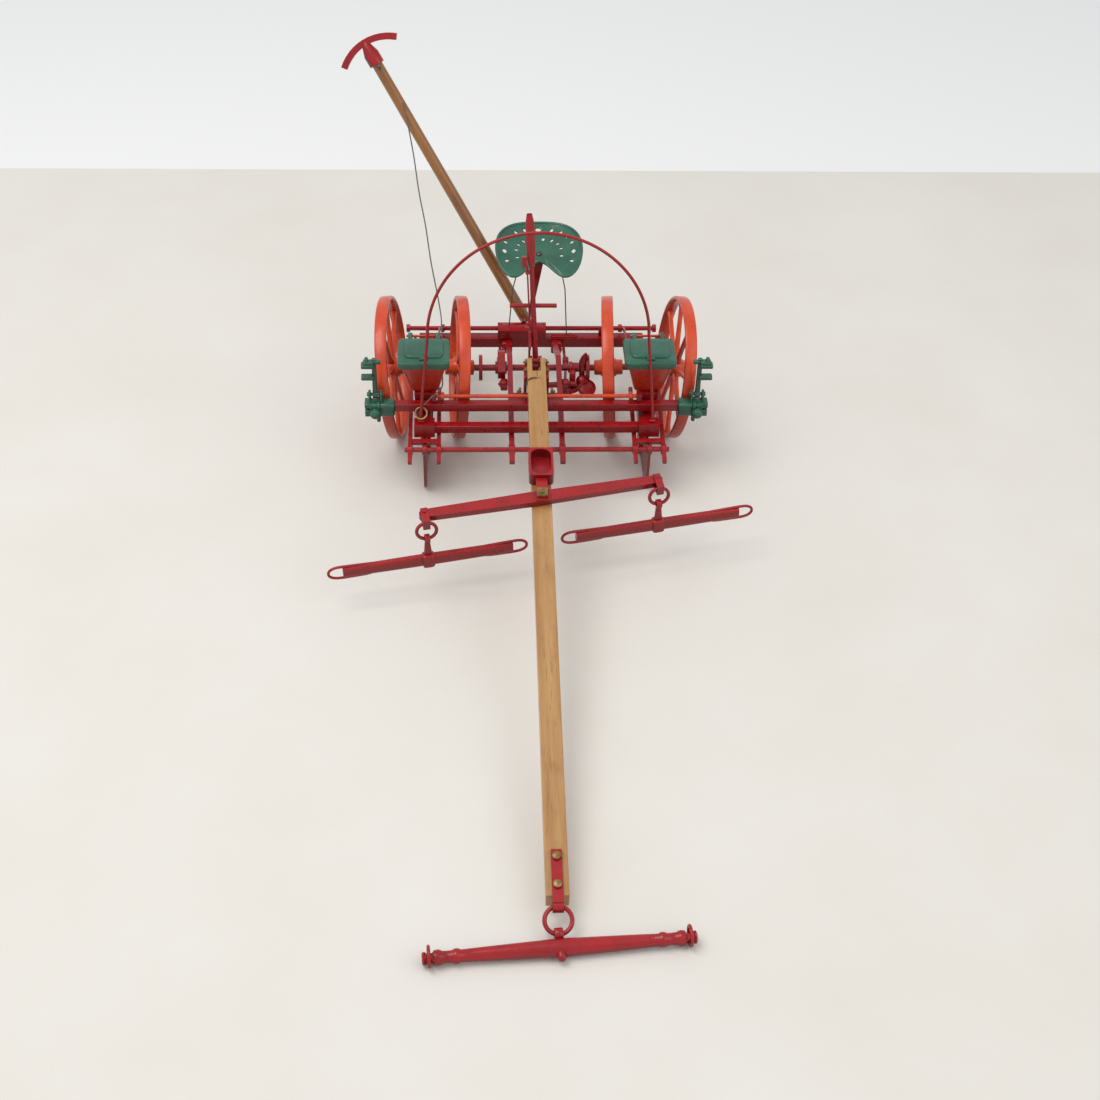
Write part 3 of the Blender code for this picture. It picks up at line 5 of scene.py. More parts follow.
import bmesh
import bpy
import numpy as np
from mathutils import Matrix, Vector

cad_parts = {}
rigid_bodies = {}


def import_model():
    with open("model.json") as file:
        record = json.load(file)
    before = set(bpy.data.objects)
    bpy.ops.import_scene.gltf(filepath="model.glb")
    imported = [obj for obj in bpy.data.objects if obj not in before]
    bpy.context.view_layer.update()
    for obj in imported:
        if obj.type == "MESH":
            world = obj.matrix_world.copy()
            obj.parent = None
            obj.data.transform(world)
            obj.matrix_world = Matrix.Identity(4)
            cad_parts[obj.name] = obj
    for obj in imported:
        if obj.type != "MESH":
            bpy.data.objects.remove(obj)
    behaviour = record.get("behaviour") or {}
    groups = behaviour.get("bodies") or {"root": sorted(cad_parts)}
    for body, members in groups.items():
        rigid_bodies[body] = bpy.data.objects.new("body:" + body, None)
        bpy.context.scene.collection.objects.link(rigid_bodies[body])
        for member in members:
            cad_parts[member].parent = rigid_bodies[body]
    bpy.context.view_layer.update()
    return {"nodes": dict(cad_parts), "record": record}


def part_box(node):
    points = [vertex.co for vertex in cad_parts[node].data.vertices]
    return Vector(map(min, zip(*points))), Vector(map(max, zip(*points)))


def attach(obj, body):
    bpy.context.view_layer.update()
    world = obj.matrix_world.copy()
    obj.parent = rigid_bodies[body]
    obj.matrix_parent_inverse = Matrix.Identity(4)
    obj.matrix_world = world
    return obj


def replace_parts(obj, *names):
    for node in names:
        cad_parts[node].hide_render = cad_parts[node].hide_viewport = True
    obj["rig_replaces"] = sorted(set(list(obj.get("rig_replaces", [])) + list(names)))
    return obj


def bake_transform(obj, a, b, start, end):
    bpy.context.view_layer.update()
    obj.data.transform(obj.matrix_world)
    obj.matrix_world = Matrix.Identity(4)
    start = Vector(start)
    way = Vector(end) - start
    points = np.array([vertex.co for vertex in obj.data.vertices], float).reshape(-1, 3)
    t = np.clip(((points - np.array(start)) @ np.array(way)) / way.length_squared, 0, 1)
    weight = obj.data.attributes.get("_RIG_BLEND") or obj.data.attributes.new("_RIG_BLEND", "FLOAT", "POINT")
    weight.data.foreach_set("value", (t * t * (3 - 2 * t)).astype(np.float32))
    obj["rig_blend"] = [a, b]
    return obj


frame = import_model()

RECORD = frame["record"]
SLOT_OF = {part["node"]: part["material_slot"] for part in RECORD["subparts"]}
BODY_OF = {node: body for body, nodes in RECORD["behaviour"]["bodies"].items() for node in nodes}
CAD_NODES = frame["nodes"]

SIDES = {"left": -1, "right": 1}
UP, RIGHT, BACK = Vector((0, 0, 1)), Vector((1, 0, 0)), Vector((0, 1, 0))


def centre_of(node):
    """The middle of a node's box."""
    low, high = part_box(node)
    return (low + high) / 2


# The workshop frame has its zero under the axle; the rear beam's middle gives the shift to it.
SHIFT = centre_of("rear_beam") - Vector((0.0, 0.0500, 0.0310))
AT_SHIFT = Matrix.Translation(SHIFT)
TONGUE_SLOPE, TONGUE_LENGTH = math.radians(8.73), 0.3634
TONGUE_ROOT = SHIFT + Vector((0.0, -0.0268, 0.0691))
TONGUE_PLACE = Matrix.Translation(TONGUE_ROOT) @ Matrix.Rotation(TONGUE_SLOPE, 4, 'X')
EVENER_AT, EVENER_YAW = 0.1160, math.radians(11.0)
EVENER_PLACE = TONGUE_PLACE @ Matrix.Translation((0, -EVENER_AT, 0.0003)) @ Matrix.Rotation(EVENER_YAW, 4, 'Z')
EVENER_ALONG = EVENER_PLACE.to_3x3() @ RIGHT
HANG_DOWN = (-UP + EVENER_ALONG * EVENER_ALONG.dot(UP)).normalized()
ROW_HALF = 0.0667


def here(x, y, z):
    """A workshop point in the frame of the scene."""
    return SHIFT + Vector((x, y, z))


# ---- camera ------------------------------------------------------------------------------
def set_camera():
    """A long look down on the planter from ahead of its tongue."""
    data = bpy.data.cameras.new("view")
    data.lens, data.sensor_width = LENS_MM, SENSOR_MM
    data.clip_start, data.clip_end = 0.05, 20.0
    camera = bpy.data.objects.new("view", data)
    bpy.context.scene.collection.objects.link(camera)
    camera.rotation_mode = 'QUATERNION'
    turn = Matrix.Rotation(CAMERA_YAW, 3, 'Z') @ Matrix.Rotation(math.radians(90) - CAMERA_PITCH, 3, 'X')
    camera.rotation_quaternion = (turn @ Matrix.Rotation(CAMERA_ROLL, 3, 'Z')).to_quaternion()
    camera.location = CAMERA_AT
    bpy.context.scene.camera = camera


LENS_MM, SENSOR_MM = 57.27, 36.0
CAMERA_AT = (-0.0399, -0.7556, 0.6578)
CAMERA_PITCH, CAMERA_YAW, CAMERA_ROLL = math.radians(40.27), math.radians(-3.29), math.radians(1.82)
set_camera()


# ---- surfaces ----------------------------------------------------------------------------
def grid(points, wrap_u=False):
    """Points P[u, v] joined by quads to their neighbours in u and v. v closes on itself, and so does u where
    it is wrapped; otherwise each end row of u is fanned to its own mean point."""
    points = np.asarray(points, float)
    rows, cols = points.shape[:2]
    index = np.arange(rows * cols).reshape(rows, cols)
    u = np.arange(rows if wrap_u else rows - 1)
    v = np.arange(cols)
    a = index[u][:, v]
    b = index[u][:, (v + 1) % cols]
    c = index[(u + 1) % rows][:, (v + 1) % cols]
    d = index[(u + 1) % rows][:, v]
    quads = np.stack([a, b, c, d], axis=-1).reshape(-1, 4)
    flat, faces = points.reshape(-1, 3), quads.tolist()
    if not wrap_u:
        tips = np.stack([points[0].mean(axis=0), points[-1].mean(axis=0)])
        ring = np.arange(cols)
        after = (ring + 1) % cols
        low = np.stack([np.full(cols, len(flat)), index[0][after], index[0][ring]], axis=-1)
        high = np.stack([np.full(cols, len(flat) + 1), index[-1][ring], index[-1][after]], axis=-1)
        flat, faces = np.vstack([flat, tips]), faces + low.tolist() + high.tolist()
    return flat, faces


def moved(shell, matrix):
    """The shell under a placing matrix: p becomes M p."""
    points, faces = shell
    m = np.array(matrix)
    return points @ m[:3, :3].T + m[:3, 3], faces


def all_moved(shells, matrix):
    """Each of the shells under the same placing matrix."""
    return [moved(shell, matrix) for shell in shells]


def stand(origin, axis):
    """The placing that turns local Z to the axis and moves local zero to the origin."""
    return Matrix.Translation(Vector(origin)) @ Vector(axis).to_track_quat('Z', 'Y').to_matrix().to_4x4()


def turned(profile, origin=(0, 0, 0), axis=(0, 0, 1), sides=40, ring=False):
    """A surface of revolution: for each (height h, radius r) pair, (r cos v, r sin v, h)."""
    h, r = np.asarray(profile, float).T
    v = np.arange(sides) * 2 * np.pi / sides
    points = np.stack([np.outer(r, np.cos(v)), np.outer(r, np.sin(v)), np.outer(h, np.ones(sides))], axis=-1)
    return moved(grid(points, wrap_u=ring), stand(origin, axis))


def torus(centre, normal, radius, thick, steps=72, sides=14):
    """A ring of round wire: ((R + w cos v) cos u, (R + w cos v) sin u, w sin v)."""
    u = np.arange(steps)[:, None] * 2 * np.pi / steps
    v = np.arange(sides)[None, :] * 2 * np.pi / sides
    r = radius + thick * np.cos(v)
    points = np.stack([r * np.cos(u), r * np.sin(u), thick * np.sin(v) + 0 * u], axis=-1)
    return moved(grid(points, wrap_u=True), stand(centre, normal))


def power_wave(v, corner):
    """The cosine and sine of v, each kept in sign and raised to 2 / corner: a superellipse of half width 1."""
    return [np.sign(f) * np.abs(f) ** (2 / corner) for f in (np.cos(v), np.sin(v))]


def round_box(levels, corner, sides, centre=(0, 0)):
    """Superellipse sections |x/a|^n + |y/b|^n = 1 at each (height, a, b) level, joined upwards."""
    z, a, b = np.asarray(levels, float).T
    cx, cy = power_wave(np.arange(sides) * 2 * np.pi / sides, corner)
    across, along = centre[0] + np.outer(a, cx), centre[1] + np.outer(b, cy)
    return grid(np.stack([across, along, np.outer(z, np.ones(sides))], axis=-1))


def swept(path, half_wide, half_deep, guide=(0, 0, 1), corner=2.0, sides=16, ring=False):
    """A superellipse section carried along a path: its wide axis is the tangent crossed with the guide, its
    deep axis the wide one crossed with the tangent."""
    path = np.asarray(path, float)
    if ring:
        along = np.roll(path, -1, axis=0) - np.roll(path, 1, axis=0)
    else:
        along = np.gradient(path, axis=0)
    along /= np.linalg.norm(along, axis=1, keepdims=True)
    wide = np.cross(along, np.asarray(guide, float))
    wide /= np.linalg.norm(wide, axis=1, keepdims=True)
    deep = np.cross(wide, along)
    cx, cy = power_wave(np.arange(sides) * 2 * np.pi / sides, corner)
    a = np.broadcast_to(np.asarray(half_wide, float), (len(path),))
    b = np.broadcast_to(np.asarray(half_deep, float), (len(path),))
    across, down = (a[:, None] * cx)[..., None], (b[:, None] * cy)[..., None]
    return grid(path[:, None] + wide[:, None] * across - deep[:, None] * down, wrap_u=ring)


def smooth_path(points, spacing):
    """Catmull-Rom through the points: for t in 0..1 between b and c,
    half of 2b + (c - a) t + (2a - 5b + 4c - d) t^2 + (3b - a - 3c + d) t^3."""
    p = np.asarray(points, float)
    p = np.vstack([2 * p[0] - p[1], p, 2 * p[-1] - p[-2]])
    steps = max(2, int(round(np.linalg.norm(np.diff(p, axis=0), axis=1).mean() / spacing)))
    t = (np.arange(1, steps + 1) / steps)[None, :, None]
    a, b, c, d = [p[i:len(p) - 3 + i][:, None] for i in range(4)]
    run = 0.5 * (2 * b + (c - a) * t + (2 * a - 5 * b + 4 * c - d) * t ** 2 + (3 * b - a - 3 * c + d) * t ** 3)
    return np.vstack([p[1][None], run.reshape(-1, 3)])


MERGE_GAP, CAD_MERGE_GAP = 1e-7, 2e-6
EDGE_ROUND, CAD_SHARP = 0.00025, 32.0


def piece(name, shells, finish, body, stands_for=(), sharp=40.0):
    """One object from several closed shells, with its faces outward, riding on a body."""
    points, faces, base = [], [], 0
    for shell_points, shell_faces in shells:
        points.append(shell_points)
        faces += [[i + base for i in face] for face in shell_faces]
        base += len(shell_points)
    mesh = bpy.data.meshes.new(name)
    mesh.from_pydata(np.vstack(points).tolist(), [], faces)
    work = bmesh.new()
    work.from_mesh(mesh)
    bmesh.ops.remove_doubles(work, verts=work.verts, dist=MERGE_GAP)
    bmesh.ops.recalc_face_normals(work, faces=work.faces)
    work.to_mesh(mesh)
    work.free()
    return settle(name, mesh, finish, body, stands_for, sharp)


def settle(name, mesh, finish, body, stands_for=(), sharp=40.0, bevel=0.0):
    """Put a finished mesh in the scene with its finish, edges, body and the nodes it stands for."""
    mesh.materials.clear()
    mesh.materials.append(finish)
    mesh.shade_smooth()
    mesh.set_sharp_from_angle(angle=math.radians(sharp))
    item = bpy.data.objects.new(name, mesh)
    bpy.context.scene.collection.objects.link(item)
    if bevel:
        edge = item.modifiers.new("soft edges", 'BEVEL')
        edge.width, edge.segments, edge.limit_method = bevel, 2, 'ANGLE'
        edge.angle_limit = math.radians(sharp)
        edge.harden_normals = False
    if body:
        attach(item, body)
    if stands_for:
        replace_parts(item, *stands_for)
    return item


def softened(node, finish):
    """A CAD node's own shape, merged and with rounded edges, standing for that node."""
    mesh = CAD_NODES[node].data.copy()
    mesh.name = "soft_" + node
    work = bmesh.new()
    work.from_mesh(mesh)
    bmesh.ops.remove_doubles(work, verts=work.verts, dist=CAD_MERGE_GAP)
    bmesh.ops.dissolve_limit(work, angle_limit=math.radians(1.0), verts=work.verts, edges=work.edges)
    clean = bpy.data.meshes.new("soft_" + node)
    work.to_mesh(clean)
    work.free()
    for name in [layer.name for layer in clean.attributes if "normal" in layer.name]:
        clean.attributes.remove(clean.attributes[name])
    settle("soft_" + node, clean, finish, BODY_OF[node], (node,), CAD_SHARP, EDGE_ROUND)


# ---- finishes ----------------------------------------------------------------------------
def wire(tree, kind, inputs=(), **settings):
    """One shader node with its settings and its input values or links."""
    node = tree.nodes.new(kind)
    for key, value in settings.items():
        setattr(node, key, value)
    for key, value in dict(inputs).items():
        if isinstance(value, bpy.types.NodeSocket):
            tree.links.new(value, node.inputs[key])
        else:
            node.inputs[key].default_value = value
    return node


def ramp(tree, factor, stops):
    """A colour ramp over (position, grey or colour) stops."""
    node = wire(tree, "ShaderNodeValToRGB", {"Fac": factor})
    items = node.color_ramp.elements
    while len(items) < len(stops):
        items.new(0.5)
    for item, (position, colour) in zip(items, stops):
        item.position = position
        item.color = (*colour, 1) if hasattr(colour, "__len__") else (colour, colour, colour, 1)
    return node.outputs["Color"]


def blank(name, roughness, metallic=0.0, coat=0.0):
    """A new Principled material: its tree, shader and object coordinates."""
    finish = bpy.data.materials.new(name)
    finish.use_nodes = True
    tree = finish.node_tree
    shader = tree.nodes["Principled BSDF"]
    shader.inputs["Roughness"].default_value = roughness
    shader.inputs["Metallic"].default_value = metallic
    shader.inputs["Coat Weight"].default_value = coat
    shader.inputs["Coat Roughness"].default_value = 0.12
    place = wire(tree, "ShaderNodeTexCoord").outputs["Object"]
    return finish, tree, shader, place


def shaded(colour, share):
    """A colour with each channel brought down to a share."""
    return tuple(share * channel for channel in colour)


def mix(tree, factor, a, b):
    """Two colours mixed by a factor."""
    node = wire(tree, "ShaderNodeMix", data_type='RGBA')
    for socket, value in ((node.inputs[0], factor), (node.inputs[6], a), (node.inputs[7], b)):
        if isinstance(value, bpy.types.NodeSocket):
            tree.links.new(value, socket)
        else:
            socket.default_value = (*value, 1) if hasattr(value, "__len__") else value
    return node.outputs[2]


def noise(tree, place, scale, detail=4.0, rough=0.55):
    """Cloudy grey noise over the place."""
    return wire(tree, "ShaderNodeTexNoise", {"Vector": place, "Scale": scale, "Detail": detail,
                                             "Roughness": rough}).outputs["Fac"]


def bumped(tree, shader, height, strength, distance):
    """A bump of the height on the shader."""
    bump = wire(tree, "ShaderNodeBump", {"Height": height, "Strength": strength, "Distance": distance})
    tree.links.new(bump.outputs["Normal"], shader.inputs["Normal"])


def enamel(name, colour, deep, chip, roughness, coat, wear=0.76):
    """Hand-brushed enamel: clouded colour, painted shade on faces turned sideways or down, small chips, brush
    marks.
    """
    finish, tree, shader, place = blank(name, roughness, coat=coat)
    cloud = ramp(tree, noise(tree, place, 90.0), ((0.35, 0.0), (0.75, 1.0)))
    base = mix(tree, cloud, colour, deep)
    # painted shade: faces whose normal points sideways or down get a darker colour
    under = wire(tree, "ShaderNodeNewGeometry").outputs["Normal"]
    facing = wire(tree, "ShaderNodeSeparateXYZ", {"Vector": under}).outputs["Z"]
    side_and_under_shade = ramp(tree, facing, ((0.0, 1.0), (0.35, 0.0)))
    base = mix(tree, side_and_under_shade, base, shaded(deep, 0.72))
    specks = ramp(tree, noise(tree, place, 620.0, 6.0, 0.7), ((wear, 0.0), (wear + 0.03, 1.0)))
    tree.links.new(mix(tree, specks, base, chip), shader.inputs["Base Color"])
    gloss = ramp(tree, noise(tree, place, 240.0), ((0.3, roughness - 0.06), (0.8, roughness + 0.16)))
    tree.links.new(gloss, shader.inputs["Roughness"])
    bumped(tree, shader, noise(tree, place, 420.0, 5.0), 0.35, 0.0002)
    return finish


PORE_FINENESS, PORE_DEPTH = 4.5, 0.55


def wood(name, pale, dark, streak, placing, roughness=0.42, coat=0.25):
    """Straight-grained wood: noise drawn out along the stick, with fine dark pores and a few stains."""
    finish, tree, shader, place = blank(name, roughness, coat=coat)
    turn = placing.to_3x3().inverted().to_euler()
    local = wire(tree, "ShaderNodeMapping", {"Vector": place, "Rotation": turn}).outputs["Vector"]
    drawn = wire(tree, "ShaderNodeMapping", {"Vector": local, "Scale": streak}).outputs["Vector"]
    grain = ramp(tree, noise(tree, drawn, 1.0, 6.0, 0.6), ((0.30, 0.0), (0.70, 1.0)))
    finer = tuple(PORE_FINENESS * s for s in streak)
    fine = wire(tree, "ShaderNodeMapping", {"Vector": local, "Scale": finer}).outputs["Vector"]
    pores = ramp(tree, noise(tree, fine, 1.0, 3.0, 0.7), ((0.56, 0.0), (0.70, 1.0)))
    base = mix(tree, grain, pale, dark)
    pore_share = wire(tree, "ShaderNodeMath", {0: pores, 1: PORE_DEPTH}, operation='MULTIPLY').outputs[0]
    base = mix(tree, pore_share, base, shaded(dark, 0.45))
    stain = ramp(tree, noise(tree, place, 38.0, 3.0), ((0.58, 0.0), (0.80, 0.5)))
    tree.links.new(mix(tree, stain, base, shaded(dark, 0.55)), shader.inputs["Base Color"])
    bumped(tree, shader, pores, 0.25, 0.0001)
    return finish


def bare_metal(name, colour, tarnish, roughness, metallic=0.9):
    """Bare metal: tarnish in clouds and scratched gloss."""
    finish, tree, shader, place = blank(name, roughness, metallic)
    cloud = ramp(tree, noise(tree, place, 260.0, 5.0), ((0.40, 0.0), (0.70, 1.0)))
    tree.links.new(mix(tree, cloud, colour, tarnish), shader.inputs["Base Color"])
    gloss = ramp(tree, noise(tree, place, 900.0), ((0.3, roughness - 0.08), (0.7, roughness + 0.15)))
    tree.links.new(gloss, shader.inputs["Roughness"])
    bumped(tree, shader, noise(tree, place, 1500.0), 0.2, 0.0001)
    return finish


def twisted_cord(name, colour, shade):
    """Braided cord: slanting strands over the piece's own map, u round it and v along it, with painted shade
    in the grooves between strands.
    """
    finish, tree, shader, _ = blank(name, 0.8)
    strand = wire(tree, "ShaderNodeUVMap", uv_map="lay").outputs["UV"]
    slant = wire(tree, "ShaderNodeMapping", {"Vector": strand, "Rotation": (0, 0, 0.7)}).outputs["Vector"]
    waves = wire(tree, "ShaderNodeTexWave", {"Vector": slant, "Scale": 1.5, "Distortion": 0.4}).outputs["Fac"]
    # the darker bands between the strands are painted shade in the grooves
    tree.links.new(mix(tree, waves, shade, colour), shader.inputs["Base Color"])
    bumped(tree, shader, waves, 0.6, 0.0001)
    return finish


POLE_FOOT, POLE_TOP = here(-0.0050, 0.0620, 0.0420), here(-0.0985, 0.1275, 0.1880)
POLE_PLACE = stand(POLE_FOOT, POLE_TOP - POLE_FOOT)
FINISH = {
    "crimson_enamel": enamel("crimson enamel", (0.400, 0.004, 0.007), (0.270, 0.002, 0.004),
                             (0.07, 0.010, 0.010), roughness=0.28, coat=0.12),
    "runner_enamel": enamel("runner enamel", (0.360, 0.008, 0.012), (0.220, 0.005, 0.008),
                            (0.05, 0.03, 0.025), roughness=0.36, coat=0.2, wear=0.64),
    "orange_enamel": enamel("orange enamel", (0.700, 0.068, 0.010), (0.540, 0.036, 0.006),
                            (0.16, 0.03, 0.02), roughness=0.30, coat=0.22),
    "hopper_enamel": enamel("hopper enamel", (0.640, 0.040, 0.005), (0.460, 0.022, 0.003),
                            (0.12, 0.02, 0.012), roughness=0.28, coat=0.22),
    "green_enamel": enamel("green enamel", (0.022, 0.128, 0.074), (0.011, 0.074, 0.044),
                           (0.10, 0.15, 0.12), roughness=0.28, coat=0.3),
    "pale_wood": wood("pale wood", (0.560, 0.310, 0.110), (0.400, 0.190, 0.055), (230, 13, 230), TONGUE_PLACE),
    "stained_wood": wood("stained wood", (0.360, 0.150, 0.026), (0.190, 0.062, 0.010), (260, 260, 14),
                         POLE_PLACE, roughness=0.32, coat=0.5),
    "brass": bare_metal("brass", (0.42, 0.27, 0.10), (0.16, 0.10, 0.045), 0.38),
    "bare_iron": bare_metal("bare iron", (0.20, 0.17, 0.16), (0.09, 0.065, 0.055), 0.42),
    "grey_cord": twisted_cord("grey cord", (0.22, 0.20, 0.18), (0.07, 0.06, 0.055)),
}


# ---- rope --------------------------------------------------------------------------------
ROPE_R, ROPE_SIDES, ROPE_STEP = 0.0004, 8, 0.0012
ROPE_RING_R, ROPE_RING_WIRE, ROPE_RING_LEAN = 0.0034, 0.0006, math.radians(40)
HIGH_END, LOW_POINT = (-0.0800, 0.1128, 0.1655), (-0.0580, 0.0500, 0.0500)
ROPE_ROUTE = [
    (-0.0800, 0.1128, 0.1655), (-0.0779, 0.1070, 0.1560), (-0.0742, 0.0985, 0.1370), (-0.0711, 0.0880, 0.1170),
    (-0.0672, 0.0785, 0.0980), (-0.0640, 0.0680, 0.0780), (-0.0600, 0.0585, 0.0590), (-0.0580, 0.0500, 0.0500),
    (-0.0574, 0.0380, 0.0510), (-0.0570, 0.0200, 0.0530), (-0.0568, 0.0020, 0.0545),
    (-0.0567, -0.0160, 0.0565), (-0.0560, -0.0330, 0.0582), (-0.0566, -0.0440, 0.0592),
    (-0.0620, -0.0505, 0.0575), (-0.0670, -0.0540, 0.0540)]


def lay_rope():
    """The marker's pull rope: a tube of radius r along the smoothed route, closed at both ends."""
    path = smooth_path(np.array(ROPE_ROUTE) + np.array(SHIFT), ROPE_STEP)
    points, faces = swept(path, ROPE_R, ROPE_R, guide=(0.83, 0.2, 0.5), sides=ROPE_SIDES)
    mesh = bpy.data.meshes.new("pull_rope")
    mesh.from_pydata(points.tolist(), [], faces)
    lay = mesh.uv_layers.new(name="lay")
    corners = np.empty(len(mesh.loops), int)
    mesh.loops.foreach_get("vertex_index", corners)
    run = np.concatenate([[0.0], np.cumsum(np.linalg.norm(np.diff(path, axis=0), axis=1))])
    row = np.minimum(corners // ROPE_SIDES, len(path) - 1)
    round_share, lay_length = (corners % ROPE_SIDES) / ROPE_SIDES, 6 * ROPE_R
    lay.data.foreach_set("uv", np.stack([round_share, run[row] / lay_length], axis=-1).ravel())
    rope = settle("pull_rope", mesh, FINISH["grey_cord"], None, ("marker_rope",), 60)
    ring_normal = (0, -math.cos(ROPE_RING_LEAN), math.sin(ROPE_RING_LEAN))
    loop = torus(centre_of("rope_ring"), ring_normal, ROPE_RING_R, ROPE_RING_WIRE)
    ring = piece("rope_end_ring", [loop], FINISH["brass"], BODY_OF["rope_ring"],
                 ("rope_ring",))
    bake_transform(rope, "marker_arm", "root", start=here(*HIGH_END), end=here(*LOW_POINT))


lay_rope()


# ---- wheels ------------------------------------------------------------------------------
WHEEL_R, WHEEL_HEIGHT, TREAD_HALF, SPOKES = 0.0438, 0.04394, 0.00355, 8
SPOKE_FROM, SPOKE_TO = 0.0052, 0.0414
TOE, GAUGE = math.radians(3.2), 0.0206
CAMBER = {"inner": math.radians(3.7), "outer": math.radians(6.5)}


def build_wheel(name, side, outer):
    """Rim and hub turned round the axle, and eight spokes of squared oval section swept from hub to rim."""
    node = f"wheel_{name}_{outer}"
    sign = 1 if outer == "outer" else -1
    axis = Vector((side * sign, math.tan(TOE), -math.tan(CAMBER[outer]))).normalized()
    place = stand(here(side * (ROW_HALF + sign * GAUGE), 0.0, WHEEL_HEIGHT), axis)
    t = TREAD_HALF
    rim = [(-t, 0.0421), (-t, 0.0431), (-t + 0.0003, 0.04355), (-t + 0.0009, WHEEL_R), (t - 0.0009, WHEEL_R),
           (t - 0.0003, 0.04355), (t, 0.0431), (t, 0.0421), (t - 0.0004, 0.0416), (t - 0.0012, 0.0414),
           (0.0016, 0.0411), (-0.0016, 0.0411), (-t + 0.0012, 0.0414), (-t + 0.0004, 0.0416)]
    bore = 0.0023
    hub = [(-0.0088, bore), (-0.0088, 0.0042), (-0.0085, 0.0046), (-0.0050, 0.0048), (-0.0042, 0.0056),
           (-0.0030, 0.0060), (0.0030, 0.0060), (0.0042, 0.0056), (0.0050, 0.0048), (0.0085, 0.0046),
           (0.0088, 0.0042), (0.0088, bore)]
    shells = [turned(rim, sides=112, ring=True), turned(hub, sides=36, ring=True)]
    reach = np.linspace(SPOKE_FROM, SPOKE_TO, 9)
    flare = 0.00075 * (np.exp(-(reach - SPOKE_FROM) / 0.0030) + np.exp((reach - SPOKE_TO) / 0.0022))
    path = np.stack([reach, 0 * reach, 0 * reach], axis=-1)
    deep = 0.00165 - 0.01 * (reach - SPOKE_FROM) + flare
    spoke = swept(path, 0.00115 + 0.8 * flare, deep, corner=3.2, sides=16)
    for k in range(SPOKES):
        shells.append(moved(spoke, Matrix.Rotation((k + 0.5) * 2 * math.pi / SPOKES, 4, 'Z')))
    piece("finished_" + node, all_moved(shells, place), FINISH["orange_enamel"], BODY_OF[node],
          (node,), sharp=50)


for row_name, row_side in SIDES.items():
    for wheel_place in ("inner", "outer"):
        build_wheel(row_name, row_side, wheel_place)


# ---- hoppers and lids --------------------------------------------------------------------
HOPPER_Y, HOPPER_BASE, HOPPER_TOP = -0.0365, 0.0560, 0.0790
HINGE_BEHIND, HINGE_Z = 0.0136 + 0.0022, HOPPER_TOP + 0.0016
LID_LOW, LID_HIGH = 0.0763, 0.0807


def build_hopper(name, side):
    """A rounded funnel with a rolled lip outside and an open hollow inside, its hinge rod and two lugs."""
    at = here(side * ROW_HALF, HOPPER_Y, 0)
    levels = [(HOPPER_BASE, 0.0076, 0.0054), (HOPPER_BASE + 0.0004, 0.0083, 0.0061),
              (HOPPER_BASE + 0.0016, 0.0088, 0.0066), (HOPPER_BASE + 0.0050, 0.0097, 0.0076),
              (HOPPER_TOP - 0.0050, 0.0128, 0.0112),
              (HOPPER_TOP - 0.0006, 0.0138, 0.0123), (HOPPER_TOP, 0.0136, 0.0121),
              (HOPPER_TOP, 0.0126, 0.0112),
              (0.0640, 0.0091, 0.0074), (0.0582, 0.0074, 0.0054), (0.0577, 0.0068, 0.0048)]
    rod = [(-0.0105, 0.0006), (-0.0103, 0.0008), (0.0103, 0.0008), (0.0105, 0.0006)]
    shells = [round_box(levels, corner=8.0, sides=72), turned(rod, (0, HINGE_BEHIND, HINGE_Z), RIGHT, 20)]
    for dx in (-0.0052, 0.0052):
        lug = smooth_path([(dx, 0.0112, 0.0752), (dx, 0.0128, HOPPER_TOP - 0.0012),
                           (dx, 0.0152, HINGE_Z - 0.0016), (dx, HINGE_BEHIND, HINGE_Z + 0.0002)], 0.0008)
        shells.append(swept(lug, 0.0008, 0.0009, guide=(0, 0.6, -0.8), corner=4, sides=16))
    node = "hopper_" + name
    piece("finished_" + node, all_moved(shells, Matrix.Translation(at)), FINISH["hopper_enamel"], "root",
          (node,), sharp=50)


def build_lid(name, side):
    """A pressed lid in superellipse steps: skirt, rounded rim, gutter and raised panel; the skirt's lower edge
    rises almost to the top at the rear, where the hinge lugs pass. Two hinge eyes and a front catch."""
    low, high = LID_LOW, LID_HIGH
    steps = [(0.0796, 0.0140, 0.0126), (low + 0.0003, 0.0142, 0.0128), (low, 0.0146, 0.0131),
             (low + 0.0004, 0.0152, 0.0136), (0.0799, 0.0152, 0.0136), (0.0805, 0.0150, 0.0134),
             (high, 0.0147, 0.0131), (high, 0.0090, 0.0075)]
    points, faces = round_box(steps, corner=12.0, sides=88)
    rear = np.clip((points[:, 1] - 0.0105) / 0.0020, 0, 1) * (points[:, 2] < 0.0790)
    points[:, 2] = points[:, 2] * (1 - rear) + 0.0793 * rear
    panel = round_box([(high - 0.0004, 0.0117, 0.0099), (high + 0.0002, 0.0117, 0.0099),
                       (high + 0.0010, 0.0114, 0.0096), (high + 0.0013, 0.0109, 0.0091),
                       (high + 0.0014, 0.0070, 0.0060)], corner=6.0, sides=72)
    shells = [(points, faces), moved(panel, Matrix.Translation((0, 0.0018, 0)))]
    eye = [(-0.0013, 0.0011), (-0.0013, 0.0018), (-0.0011, 0.0020), (0.0011, 0.0020), (0.0013, 0.0018),
           (0.0013, 0.0011)]
    for dx in (-0.0082, 0.0082):
        shells.append(turned(eye, (dx, HINGE_BEHIND, HINGE_Z), RIGHT, 28, ring=True))
        strap = np.linspace((dx, 0.0095, high + 0.0001), (dx, 0.0142, high + 0.0006), 6)
        shells.append(swept(strap, 0.0013, 0.0006, corner=4, sides=20))
    catch = np.linspace((0, -0.0070, high + 0.0006), (0, -0.0104, high + 0.0003), 6)
    shells.append(swept(catch, 0.0024, 0.0006, corner=3, sides=20))
    node, at = "lid_" + name, here(side * ROW_HALF, HOPPER_Y, 0)
    piece("finished_" + node, all_moved(shells, Matrix.Translation(at)), FINISH["green_enamel"], BODY_OF[node],
          (node,), sharp=50)


